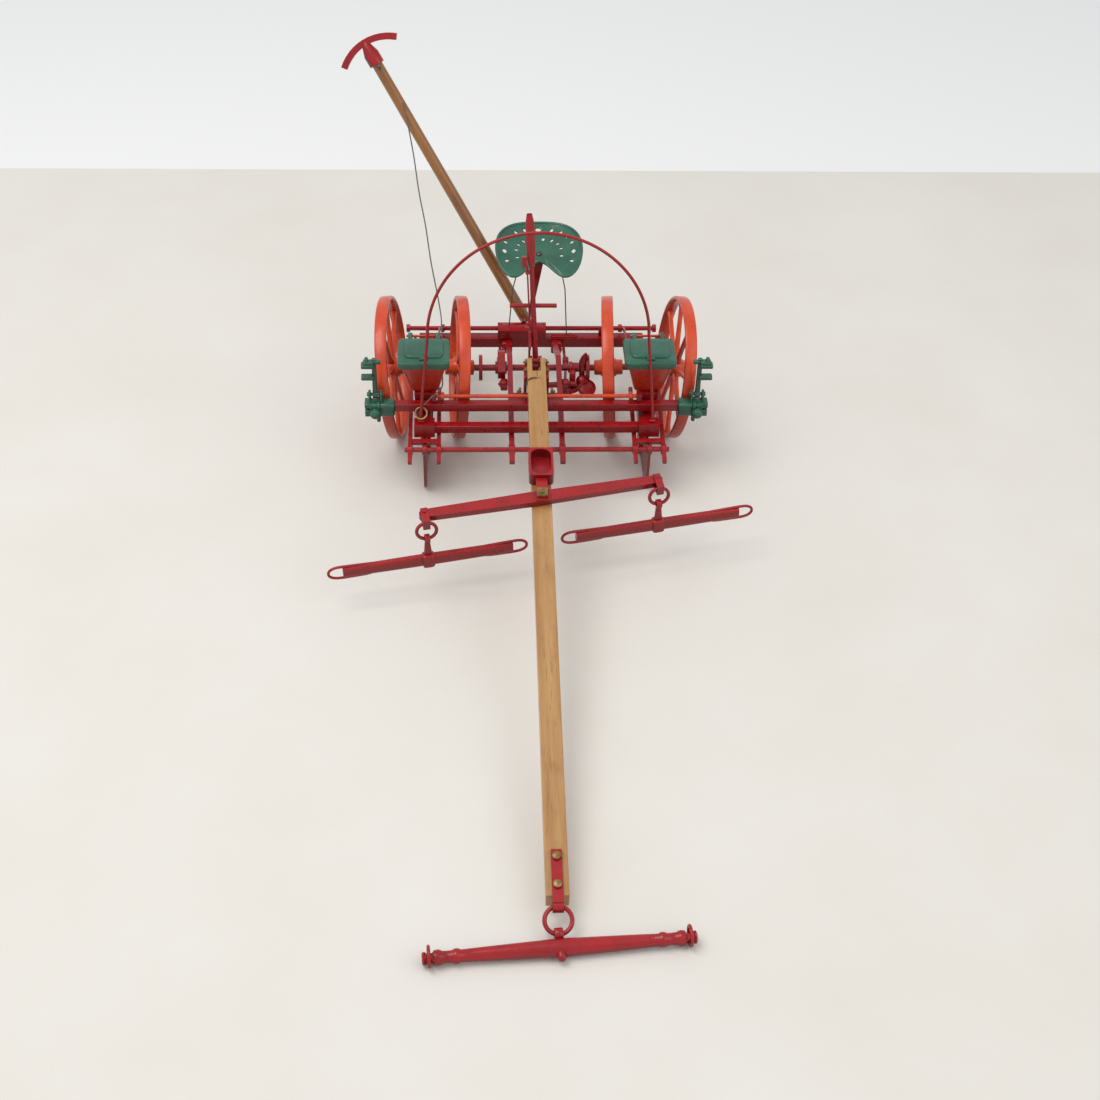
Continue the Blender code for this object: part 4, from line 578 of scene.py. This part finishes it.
for row_name, row_side in SIDES.items():
    build_hopper(row_name, row_side)
    build_lid(row_name, row_side)


# ---- seat --------------------------------------------------------------------------------
SEAT_AT = here(0.0040, 0.0580, 0.0905)
SEAT_HALF = (0.0270, 0.0235)
TURNS, HOLE_ROWS = 240, 3


def seat_surface(turn, share):
    """The dished pan: a superellipse with a deep round notch at the front. Its height rises as the share of
    reach to the power 2.6 towards the back and the sides, its front lobes droop, and it leans forward."""
    c, s = power_wave(turn, 2.5)
    front, back = np.clip(-s, 0, None), np.clip(s, 0, None)
    notch = 0.68 * np.exp(-np.abs(c / 0.47) ** 2.6) * (s < 0)
    reach_y = SEAT_HALF[1] * (1 - notch) * (1 + 0.09 * back)
    rise = 0.0052 * back + 0.0036 * c * c - 0.0090 * front * np.abs(c)
    x, y = SEAT_HALF[0] * (1 - 0.06 * front) * c * share, reach_y * s * share
    z = rise * share ** 2.6 + 0.10 * y
    return np.stack([SEAT_AT.x + x, SEAT_AT.y + y, SEAT_AT.z + z], axis=-1)


def build_seat():
    """A pressed pan: the seat surface on a polar grid, less two rings of holes, given a wall and rounded."""
    turns = np.arange(TURNS) * 2 * np.pi / TURNS
    shares = np.array([0.10, 0.18, 0.26, 0.34, 0.42, 0.485, 0.512, 0.539, 0.566, 0.60, 0.65, 0.70,
                       0.755, 0.783, 0.811, 0.839, 0.88, 0.92, 0.96, 1.0])
    points, faces = grid(seat_surface(turns[None, :], shares[:, None]))
    quads = np.array(faces[:(len(shares) - 1) * TURNS])
    row, col = np.divmod(np.arange(len(quads)), TURNS)

    def ring_of_holes(first, period, wide, phase, clear_from, clear_to):
        """True where a cell is inside an oval hole of the ring, its corners left in, and none between two
        angles where the notch is."""
        across, along = row - first, (col + phase) % period
        inside = (across >= 0) & (across < HOLE_ROWS) & (along < wide)
        corner = ((across == 0) | (across == HOLE_ROWS - 1)) & ((along == 0) | (along == wide - 1))
        angle = (col + 0.5) * 360 / TURNS
        return inside & ~corner & ((angle < clear_from) | (angle > clear_to))

    gone = ring_of_holes(12, 12, 4, 2, 203, 337) | ring_of_holes(5, 15, 5, 8, 198, 342)
    kept = quads[~gone].tolist() + faces[len(quads):len(quads) + TURNS]
    mesh = bpy.data.meshes.new("finished_seat")
    mesh.from_pydata(points.tolist(), [], kept)
    work = bmesh.new()
    work.from_mesh(mesh)
    loose = [vert for vert in work.verts if not vert.link_faces]
    bmesh.ops.delete(work, geom=loose, context='VERTS')
    bmesh.ops.recalc_face_normals(work, faces=work.faces)
    if sum(face.normal.z for face in work.faces) < 0:
        bmesh.ops.reverse_faces(work, faces=work.faces)
    work.to_mesh(mesh)
    work.free()
    pan = settle("finished_seat", mesh, FINISH["green_enamel"], "root", ("seat",))
    mesh.shade_smooth()  # the pan is smooth all over, so the sharp edges that settle marks are cleared
    wall = pan.modifiers.new("wall", 'SOLIDIFY')
    wall.thickness, wall.offset = 0.0011, -1.0
    smooth = pan.modifiers.new("smooth", 'SUBSURF')
    smooth.levels = smooth.render_levels = 1
    rim = seat_surface(turns, 0.985) - np.array([0, 0, 0.0005])
    bead = swept(rim, 0.0010, 0.0009, corner=2, sides=12, ring=True)
    piece("seat_rim", [bead], FINISH["green_enamel"], "root")
    dome = [(-0.0004, 0.0019), (0.0006, 0.0018), (0.0011, 0.0011), (0.0012, 0.0004)]
    bolt = turned(dome, SEAT_AT + Vector((0, -0.0010, 0)), UP, 28)
    piece("seat_bolt", [bolt], FINISH["bare_iron"], "root")


build_seat()


# ---- arch, rings, draft bars -------------------------------------------------------------
ARCH_R, ARCH_SPRING, ARCH_FOOT = 0.0640, 0.0990, 0.0685
ARCH_Y, ARCH_LEAN = -0.0570, math.radians(7.0)


def build_arch():
    """A bent rod: two short legs and a half circle, leaning back a little, with flat feet."""
    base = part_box("rope_arch")[0].z
    turn = np.linspace(np.pi, 0, 61)
    leg_x, leg_z = np.array([ARCH_FOOT, ARCH_FOOT - 0.0002]), np.array([base, base + 0.009])
    x = np.concatenate([-leg_x, ARCH_R * np.cos(turn), leg_x[::-1]])
    z = np.concatenate([leg_z, ARCH_SPRING + ARCH_R * np.sin(turn), leg_z[::-1]])
    bend = np.stack([x, ARCH_Y + (z - base) * math.tan(ARCH_LEAN), z], axis=-1) + [SHIFT.x, SHIFT.y, 0]
    shells = [swept(smooth_path(bend, 0.0015), 0.0009, 0.0009, guide=(0, 1, 0.12), sides=16)]
    pad = round_box([(base, 0.0017, 0.0015), (base + 0.0002, 0.0019, 0.0017), (base + 0.0010, 0.0019, 0.0017),
                     (base + 0.0014, 0.0015, 0.0014)], 4, 28)
    for side in (-1, 1):
        shells.append(moved(pad, Matrix.Translation((SHIFT.x + side * ARCH_FOOT, SHIFT.y + ARCH_Y, 0))))
    piece("bent_arch", shells, FINISH["crimson_enamel"], "root", ("rope_arch",), sharp=60)


TREE_HALF, CLEVIS_RING_R = 0.0478, 0.0055


def build_singletree(name, side):
    """A tapered bar of superellipse section with a wire loop at each end, hung on its ring by a clip."""
    node = "singletree_" + name
    seat = EVENER_PLACE @ Vector((side * 0.0660, -0.0068 + 0.0016, 0.0014))
    hook = seat + HANG_DOWN * 0.0110
    ahead = EVENER_ALONG.cross(HANG_DOWN)
    place = Matrix.Identity(4)
    for i, axis in enumerate((EVENER_ALONG, ahead, -HANG_DOWN)):
        place.col[i][:3] = axis
    place.col[3][:3] = hook
    x = np.linspace(-TREE_HALF, TREE_HALF, 61)
    path = np.stack([x, 0 * x, -0.0150 + 0 * x], axis=-1)
    tall = 0.0037 - 0.0005 * (x / TREE_HALF) ** 2
    shells = [swept(path, 0.0018 + 0 * x, tall, guide=(0, 0, 1), corner=3.4, sides=24)]
    for s in (-1, 1):
        loop = smooth_path([(s * x, 0, z) for x, z in (
            (0.0300, -0.0172), (0.0335, -0.0186), (0.0420, -0.0189), (0.0500, -0.0189), (0.0535, -0.0181),
            (0.0553, -0.0167), (0.0558, -0.0150), (0.0553, -0.0133), (0.0535, -0.0119), (0.0500, -0.0112),
            (0.0400, -0.0114), (0.0280, -0.0119))], 0.0008)
        shells.append(swept(loop, 0.0008, 0.0008, guide=(0, 1, 0), sides=14))
    clip = np.linspace((-0.0032, 0, -0.0152), (0.0032, 0, -0.0152), 9)
    swell = 1 - 0.12 * np.abs(np.linspace(-1, 1, 9)) ** 6
    shells.append(swept(clip, 0.0030 * swell, 0.0044 * swell, guide=(0, 0, 1), corner=5, sides=28))
    shank = np.linspace((0, 0, -0.0150), (0, 0, -0.0020), 8)
    shells.append(swept(shank, 0.0012, np.linspace(0.0026, 0.0015, 8), guide=(1, 0, 0), corner=4, sides=20))
    eye = [(-0.0015, 0.0016), (-0.0015, 0.0024), (-0.0013, 0.0026), (0.0013, 0.0026), (0.0015, 0.0024),
           (0.0015, 0.0016)]
    shells.append(turned(eye, axis=RIGHT, sides=28, ring=True))
    piece("finished_" + node, all_moved(shells, place), FINISH["crimson_enamel"], BODY_OF[node],
          (node,), sharp=45)
    ring = "clevis_ring_" + name
    loop = torus(seat + HANG_DOWN * CLEVIS_RING_R, ahead, CLEVIS_RING_R, 0.0010)
    piece("round_" + ring, [loop], FINISH["crimson_enamel"], BODY_OF[ring], (ring,))


YOKE_HOOK = TONGUE_PLACE @ Vector((0, -(TONGUE_LENGTH + 0.0044), -0.0022))
YOKE_LIE = Vector((0, -math.cos(math.radians(28)), -math.sin(math.radians(28))))
YOKE_YAW, YOKE_R, YOKE_HALF = math.radians(4.5), 0.0042, 0.0620
YOKE_EYE_R, YOKE_EYE_WALL, YOKE_RING_R = 0.0020, 0.0011, 0.0064
END_RING_R, END_RING_WIRE = 0.0046, 0.0008


def build_neck_yoke():
    """A turned bar, thick at its middle, beaded near its ends, with an eye for the ring and a nub in front."""
    hook = YOKE_HOOK + YOKE_LIE * 2 * YOKE_RING_R
    place = Matrix.Translation(hook) @ Matrix.Rotation(YOKE_YAW, 4, 'Z')
    back, drop = YOKE_EYE_R + YOKE_EYE_WALL + YOKE_R - 0.0004, YOKE_R - hook.z
    half = [(0.0, YOKE_R), (0.006, YOKE_R), (0.0085, 0.00405), (0.016, 0.00385), (0.030, 0.00345),
            (0.040, 0.0031), (0.0455, 0.0029), (0.0462, 0.0034), (0.0474, 0.0036), (0.0486, 0.0034),
            (0.0493, 0.0029), (0.0520, 0.0028), (0.0540, 0.0030), (0.0547, 0.0035), (0.0560, 0.0037),
            (0.0576, 0.0035), (0.0583, 0.0024), (0.0596, 0.0021), (0.0610, 0.0022), (0.0615, 0.0029),
            (0.0627, 0.0031), (0.0632, 0.0024)]
    profile = [(-x, r) for x, r in half[:0:-1]] + half
    eye = [(-0.0020, YOKE_EYE_R), (-0.0020, 0.0029), (-0.0018, 0.0031), (0.0018, 0.0031), (0.0020, 0.0029),
           (0.0020, YOKE_EYE_R)]
    nub = [(0, 0.0024), (0.0048, 0.0023), (0.0062, 0.0020), (0.0070, 0.0012)]
    shells = [turned(profile, (0, -back, drop), RIGHT, 44), turned(eye, axis=RIGHT, sides=36, ring=True),
              turned(nub, (0, -back, drop), -BACK, 28)]
    piece("finished_neck_yoke", all_moved(shells, place), FINISH["crimson_enamel"], BODY_OF["neck_yoke"],
          ("neck_yoke",), sharp=50)
    rise = END_RING_R + END_RING_WIRE - YOKE_R + 0.0001
    for name, side in SIDES.items():
        node = "yoke_end_ring_" + name
        loop = torus((side * (YOKE_HALF - 0.0020), -back, drop + rise), RIGHT, END_RING_R, END_RING_WIRE)
        piece("round_" + node, [moved(loop, place)], FINISH["crimson_enamel"], BODY_OF[node],
              (node,))
    loop = torus(YOKE_HOOK + YOKE_LIE * YOKE_RING_R, RIGHT.cross(YOKE_LIE), YOKE_RING_R, 0.0011)
    piece("round_yoke_ring", [loop], FINISH["crimson_enamel"], BODY_OF["yoke_ring"],
          ("yoke_ring",))


build_arch()
for row_name, row_side in SIDES.items():
    build_singletree(row_name, row_side)
build_neck_yoke()


# ---- marker pole -------------------------------------------------------------------------
def build_pole():
    """A round stick, tapering a little towards its shoe, with rounded ends."""
    length, r = (POLE_TOP - POLE_FOOT).length, 0.00365
    profile = [(-0.0045, r - 0.0011), (-0.0042, r - 0.0004), (-0.0036, r), (0.012, r),
               (length * 0.5, r - 0.0001), (length - 0.0003, r - 0.0003)]
    piece("marker_stick", [turned(profile, POLE_FOOT, POLE_TOP - POLE_FOOT, 40)], FINISH["stained_wood"],
          BODY_OF["marker_pole"], ("marker_pole",))
    screw = POLE_PLACE @ Vector((0.0, 0.0, length - 0.0075))
    aim = (Vector((0, -0.766, 0.643)) - (POLE_TOP - POLE_FOOT).normalized() * 0.1).normalized()
    head = turned([(0.0036, 0.0013), (0.0052, 0.0012), (0.0056, 0.0006)], screw, aim, 24)
    piece("shoe_screw", [head], FINISH["bare_iron"], "marker_arm")


build_pole()


# ---- brass fittings ----------------------------------------------------------------------
def round_head(at, axis, radius, height):
    """A domed rivet head standing on a point."""
    dome = [(-0.0004, radius), (0.35 * height, radius), (0.75 * height, 0.75 * radius), (height, 0.3 * radius)]
    return turned(dome, at, axis, 28)


def square_nut(at, axis, half, height):
    """A square nut with broken corners and its bolt end."""
    levels = [(0, half, half), (0.8 * height, half, half), (height, 0.8 * half, 0.8 * half)]
    bolt_end = [(0, 0.55 * half), (1.5 * height, 0.5 * half), (1.7 * height, 0.3 * half)]
    return [moved(round_box(levels, 12, 40), stand(at, axis)), turned(bolt_end, at, axis, 20)]


def build_fittings():
    """Brass bolts at the tongue's tip, brass nuts beside its root, and its iron staple, hole and split."""
    up = TONGUE_PLACE.to_3x3() @ UP
    shells = []
    for behind_tip in (0.0050, 0.0200):
        at = TONGUE_PLACE @ Vector((0, behind_tip - TONGUE_LENGTH, 0.0024))
        shells.append(round_head(at, up, 0.0021, 0.0008))
    piece("strap_bolts", shells, FINISH["brass"], "root")
    shells = []
    for side in (-1, 1):
        upper, lower = Vector((side * 0.0054, -0.0022, -0.0016)), Vector((side * 0.0054, -0.0080, -0.0026))
        shells += square_nut(TONGUE_PLACE @ upper, RIGHT * side, 0.0015, 0.0014)
        shells += square_nut(TONGUE_PLACE @ lower, RIGHT * side, 0.0016, 0.0014)
        shells += square_nut(here(side * 0.0088, -0.0345, 0.0500), RIGHT * side, 0.0018, 0.0016)
    piece("brass_nuts", shells, FINISH["brass"], "root")
    staple = smooth_path([(0.0000, -0.0176, -0.0006), (-0.0004, -0.0176, 0.0004), (-0.0028, -0.0180, 0.0007),
                          (-0.0052, -0.0194, 0.0004), (-0.0061, -0.0204, -0.0006),
                          (-0.0063, -0.0210, -0.0026)], 0.0005)
    plug = turned([(-0.0006, 0.0005), (0.00012, 0.0005), (0.00014, 0.0002)], (0.0013, -0.0174, 0), UP, 16)
    split = np.array([(0.0002, -0.0108, -0.0001), (-0.0001, -0.0128, 0.00003), (0.0002, -0.0150, 0.00003),
                      (0.0000, -0.0172, -0.0001)])
    shells = [swept(staple, 0.0004, 0.0004, guide=(0.2, 1, 0.1), sides=10), plug,
              swept(split, 0.00016, 0.00010, sides=8)]
    piece("tongue_staple", all_moved(shells, TONGUE_PLACE), FINISH["bare_iron"], "root")


def lump(at, half):
    """An ellipsoid: a circle of radius cos(h) at height sin(h), drawn out along each axis."""
    h = np.linspace(-np.pi / 2 + 0.12, np.pi / 2 - 0.12, 15)
    points, faces = turned(np.stack([np.sin(h), np.cos(h)], axis=-1), sides=28)
    return points * np.asarray(half) + np.asarray(at), faces


def build_drop_drive():
    """The drop drive on the main axle: lever, hub, ball, bevel case, knuckle with its pin, cross shaft, link
    and a post on the axle."""
    leaf = smooth_path([(0.0297, -0.0020, 0.0385), (0.0295, -0.0020, 0.0448), (0.0305, -0.0020, 0.0502),
                        (0.0316, -0.0020, 0.0556)], 0.0008)
    t = np.linspace(0, 1, len(leaf))
    half = np.interp(t, [0, 0.30, 0.45, 0.62, 0.80, 0.93, 1],
                     [0.0018, 0.0017, 0.0021, 0.0028, 0.0023, 0.0014, 0.0006])
    hub = [(-0.0052, 0.0024), (-0.0050, 0.0034), (-0.0026, 0.0036), (-0.0022, 0.0029), (0.0022, 0.0029),
           (0.0026, 0.0037), (0.0048, 0.0037), (0.0052, 0.0026)]
    case = [(-0.0018, 0.0046), (-0.0014, 0.0055), (0.0008, 0.0057), (0.0016, 0.0049), (0.0020, 0.0030)]
    pin = [(-0.0006, 0.0014), (0.0012, 0.0014), (0.0018, 0.0008)]
    link = smooth_path([(0.0205, -0.0125, 0.0345), (0.0250, -0.0110, 0.0345), (0.0300, -0.0060, 0.0360)],
                       0.0010)
    post = [(0.0330, 0.0016, 0.0040), (0.0336, 0.0019, 0.0044), (0.0440, 0.0019, 0.0034),
            (0.0446, 0.0015, 0.0030)]
    shells = [swept(leaf, half, 0.0016 - 0.0008 * t, guide=(0, 1, 0), corner=2.4, sides=24),
              turned(hub, (0.0262, 0, 0.0440), RIGHT, 32),
              lump((0.0298, -0.0046, 0.0368), (0.0040, 0.0038, 0.0040)),
              turned(case, (0.0326, -0.0080, 0.0338), (0.15, -0.55, 0.80), 32),
              lump((0.0204, -0.0122, 0.0345), (0.0034, 0.0032, 0.0032)),
              turned(pin, (0.0204, -0.0148, 0.0366), (0, -0.6, 0.8), 20),
              turned([(0, 0.0018), (0.0190, 0.0018)], (0.0070, -0.0105, 0.0378), (1, 0, 0.06), 20),
              swept(link, 0.0019, 0.0016, guide=(0, 0.5, 0.8), corner=3, sides=18),
              round_box(post, 4, 32, centre=(0.0236, -0.0050))]
    piece("finished_drop_drive", all_moved(shells, AT_SHIFT), FINISH["crimson_enamel"], BODY_OF["drop_drive"],
          ("drop_drive",), sharp=50)


def build_axle_castings():
    """On each side a rail clamp with its rivet, a collar, a link rod and its end block with a nut; then one
    flat plate with a rivet on the right."""
    clamp = [(0.0258, 0.0030, 0.0019), (0.0262, 0.0034, 0.0023), (0.0330, 0.0034, 0.0023),
             (0.0336, 0.0029, 0.0018)]
    collar = [(-0.0008, 0.0021), (-0.0006, 0.0026), (0.0028, 0.0026), (0.0030, 0.0021)]
    block = round_box([(-0.0030, 0.0018, 0.0022), (-0.0026, 0.0022, 0.0026), (0.0026, 0.0022, 0.0026),
                       (0.0030, 0.0018, 0.0022)], 5, 32)
    plate = [(0.0343, 0.0080, 0.0020), (0.0346, 0.0084, 0.0023), (0.0354, 0.0084, 0.0023),
             (0.0357, 0.0080, 0.0020)]
    shells = []
    for side in (-1, 1):
        rod = smooth_path([(side * 0.0204, 0.0430, 0.0300), (side * 0.0206, 0.0250, 0.0318),
                           (side * 0.0200, 0.0080, 0.0360), (side * 0.0188, -0.0120, 0.0398)], 0.0015)
        shells += [round_box(clamp, 5, 36, centre=(side * 0.0158, 0.0442)),
                   round_head(Vector((side * 0.0180, 0.0420, 0.0290)), -BACK, 0.0015, 0.0012),
                   turned(collar, (side * 0.0208 - 0.0010, 0.0250, 0.0318), RIGHT, 24),
                   swept(rod, 0.0009, 0.0011, corner=3, sides=14),
                   moved(block, Matrix.Translation((side * 0.0188, -0.0130, 0.0400)))]
        shells += square_nut(Vector((side * 0.0206, -0.0130, 0.0405)), RIGHT * side, 0.0014, 0.0011)
    shells += [round_box(plate, 8, 40, centre=(0.0210, 0.0492)),
               round_head(Vector((0.0250, 0.0492, 0.0356)), UP, 0.0016, 0.0011)]
    piece("axle_castings", all_moved(shells, AT_SHIFT), FINISH["crimson_enamel"], "root",
          sharp=50)


build_drop_drive()
build_axle_castings()
build_fittings()


# ---- check heads -------------------------------------------------------------------------
HEAD_X, HEAD_Y, HEAD_Z = 0.0955, -0.0475, 0.0489
FORK_FOOT = HEAD_Z + 0.0085


def beam_x(x0, x1, y, z, half_y, half_z):
    """A bar along x with a superellipse section, drawn in a little at both ends."""
    share = np.array([0, 0.03, 0.08, 0.5, 0.92, 0.97, 1])
    swell = np.array([0.80, 0.94, 1, 1, 1, 0.94, 0.80])
    path = np.stack([x0 + (x1 - x0) * share, y + 0 * share, z + 0 * share], axis=-1)
    return swept(path, half_y * swell, half_z * swell, corner=5.0, sides=28)


def build_check_head(name, side):
    """A casting on the check bar's end: sleeve, flange, jaws with a notch between them, boss, stem, the fork's
    pin and two cheeks."""
    x, y, z = side * HEAD_X, HEAD_Y, HEAD_Z
    boss = [(0, 0.0030), (0.0036, 0.0030), (0.0042, 0.0026), (0.0046, 0.0017), (0.0052, 0.0016),
            (0.0055, 0.0010)]
    stem = [(0, 0.0014), (0.0060, 0.0013), (0.0078, 0.0011), (0.0081, 0.0007)]
    pin = [(-0.0050, 0.0008), (-0.0048, 0.0013), (-0.0042, 0.0014), (-0.0040, 0.0010), (0.0040, 0.0010),
           (0.0042, 0.0014), (0.0048, 0.0013), (0.0050, 0.0008)]
    cheek = [(z + 0.0036, 0.0008, 0.0036), (z + 0.0070, 0.0008, 0.0029), (z + 0.0096, 0.0008, 0.0023),
             (z + 0.0106, 0.0007, 0.0017), (z + 0.0109, 0.0005, 0.0010)]
    shells = [beam_x(side * 0.0842, side * 0.0942, y - 0.0010, z - 0.0002, 0.0042, 0.0046),
              beam_x(side * 0.0928, side * 0.0948, y - 0.0014, z - 0.0002, 0.0048, 0.0056),
              beam_x(side * 0.0944, side * 0.0990, y - 0.0012, z - 0.0002, 0.0041, 0.0047),
              beam_x(side * 0.0976, side * 0.1019, y - 0.0012, z + 0.0028, 0.0038, 0.0018),
              beam_x(side * 0.0976, side * 0.1018, y - 0.0012, z - 0.0024, 0.0038, 0.0025),
              turned(boss, (x, y - 0.0045, z - 0.0010), -BACK, 30),
              turned(stem, (x - side * 0.0016, y - 0.0030, z - 0.0010), -UP, 22),
              turned(pin, (x, y, z + 0.0085), RIGHT, 22)]
    shells += [round_box(cheek, 4, 28, centre=(x + dx, y)) for dx in (-0.0034, 0.0034)]
    node = "check_head_" + name
    piece("finished_" + node, all_moved(shells, AT_SHIFT), FINISH["green_enamel"], BODY_OF[node],
          (node,), sharp=45)


def build_check_fork(name, side):
    """A fork on the head's pin: an upright arm with its eye, an upper jaw of two bars with a cap, a lower
    bar, and a short stub towards the middle."""
    x, y, foot = side * HEAD_X, HEAD_Y, FORK_FOOT
    arm = np.linspace((x, y, foot + 0.0018), (x, y, foot + 0.0248), 12)
    eye = [(-0.0015, 0.0012), (-0.0015, 0.0022), (-0.0013, 0.0024), (0.0013, 0.0024), (0.0015, 0.0022),
           (0.0015, 0.0012)]
    cap = [(foot + 0.0210, 0.0013, 0.0020), (foot + 0.0252, 0.0012, 0.0019), (foot + 0.0262, 0.0009, 0.0014)]
    shells = [swept(arm, np.linspace(0.0015, 0.0013, 12), np.linspace(0.0018, 0.0014, 12), guide=(0, 1, 0),
                    corner=4, sides=24),
              turned(eye, (x, y, foot), RIGHT, 30, ring=True),
              beam_x(x, x + side * 0.0074, y - 0.0012, foot + 0.0212, 0.0026, 0.0013),
              beam_x(x, x + side * 0.0062, y - 0.0012, foot + 0.0232, 0.0022, 0.0012),
              round_box(cap, 4, 28, centre=(x + side * 0.0043, y - 0.0012)),
              beam_x(x, x + side * 0.0076, y - 0.0012, foot + 0.0130, 0.0024, 0.0012),
              beam_x(x - side * 0.0040, x, y - 0.0006, foot + 0.0232, 0.0014, 0.0011)]
    node = "check_fork_" + name
    piece("finished_" + node, all_moved(shells, AT_SHIFT), FINISH["green_enamel"], BODY_OF[node],
          (node,), sharp=45)


for row_name, row_side in SIDES.items():
    build_check_head(row_name, row_side)
    build_check_fork(row_name, row_side)


# ---- pieces kept from the frame ----------------------------------------------------------
def finish_rest():
    """Every node not yet stood for gets a merged copy with rounded edges and its own finish."""
    done = {node for item in bpy.data.objects for node in item.get("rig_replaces", [])}
    for node in sorted(CAD_NODES):
        if node not in done:
            softened(node, FINISH[SLOT_OF[node]])


finish_rest()


# ---- floor and light ---------------------------------------------------------------------
FLOOR_HALF, WALL_FROM = 4.0, 0.478


def lay_floor():
    """A wide flat floor, warm white with faint clouds and smudges, a paler wall tone far behind."""
    finish, tree, shader, place = blank("studio floor", 0.75)
    cloud = ramp(tree, noise(tree, place, 9.0, 5.0), ((0.30, 0.0), (0.75, 1.0)))
    base = mix(tree, cloud, (0.815, 0.780, 0.715), (0.775, 0.730, 0.655))
    smudge = ramp(tree, noise(tree, place, 60.0, 6.0, 0.7), ((0.68, 0.0), (0.80, 0.5)))
    base = mix(tree, smudge, base, (0.60, 0.52, 0.40))
    depth = wire(tree, "ShaderNodeSeparateXYZ", {"Vector": place}).outputs["Y"]
    beyond = wire(tree, "ShaderNodeMath", {0: depth, 1: WALL_FROM}, operation='GREATER_THAN').outputs[0]
    tree.links.new(mix(tree, beyond, base, (0.920, 0.910, 0.890)), shader.inputs["Base Color"])
    mesh = bpy.data.meshes.new("floor")
    corners = [(x * FLOOR_HALF, y * FLOOR_HALF, 0) for x, y in ((-1, -1), (1, -1), (1, 1), (-1, 1))]
    mesh.from_pydata(corners, [], [(0, 1, 2, 3)])
    mesh.materials.append(finish)
    floor = bpy.data.objects.new("floor", mesh)
    bpy.context.scene.collection.objects.link(floor)


def lamp(name, at, target, size, power):
    """A square soft white lamp aimed at a point."""
    data = bpy.data.lights.new(name, 'AREA')
    data.shape, data.size, data.energy = 'SQUARE', size, power
    item = bpy.data.objects.new(name, data)
    item.location = at
    item.rotation_euler = (Vector(target) - Vector(at)).to_track_quat('-Z', 'Y').to_euler()
    bpy.context.scene.collection.objects.link(item)


def set_light():
    """A soft high key from the left, a weak fill from the right and an even pale world."""
    world = bpy.data.worlds.new("studio")
    bpy.context.scene.world = world
    world.use_nodes = True
    sky = world.node_tree.nodes["Background"].inputs
    sky["Color"].default_value, sky["Strength"].default_value = (0.95, 0.97, 1.0, 1), 0.70
    lamp("key", (-0.55, -0.10, 1.25), (0, 0.05, 0), 0.8, 7.0)
    lamp("fill", (0.85, -0.55, 0.95), (0, 0.05, 0), 0.9, 2.4)
    bpy.context.scene.view_settings.view_transform = 'Standard'


lay_floor()
set_light()
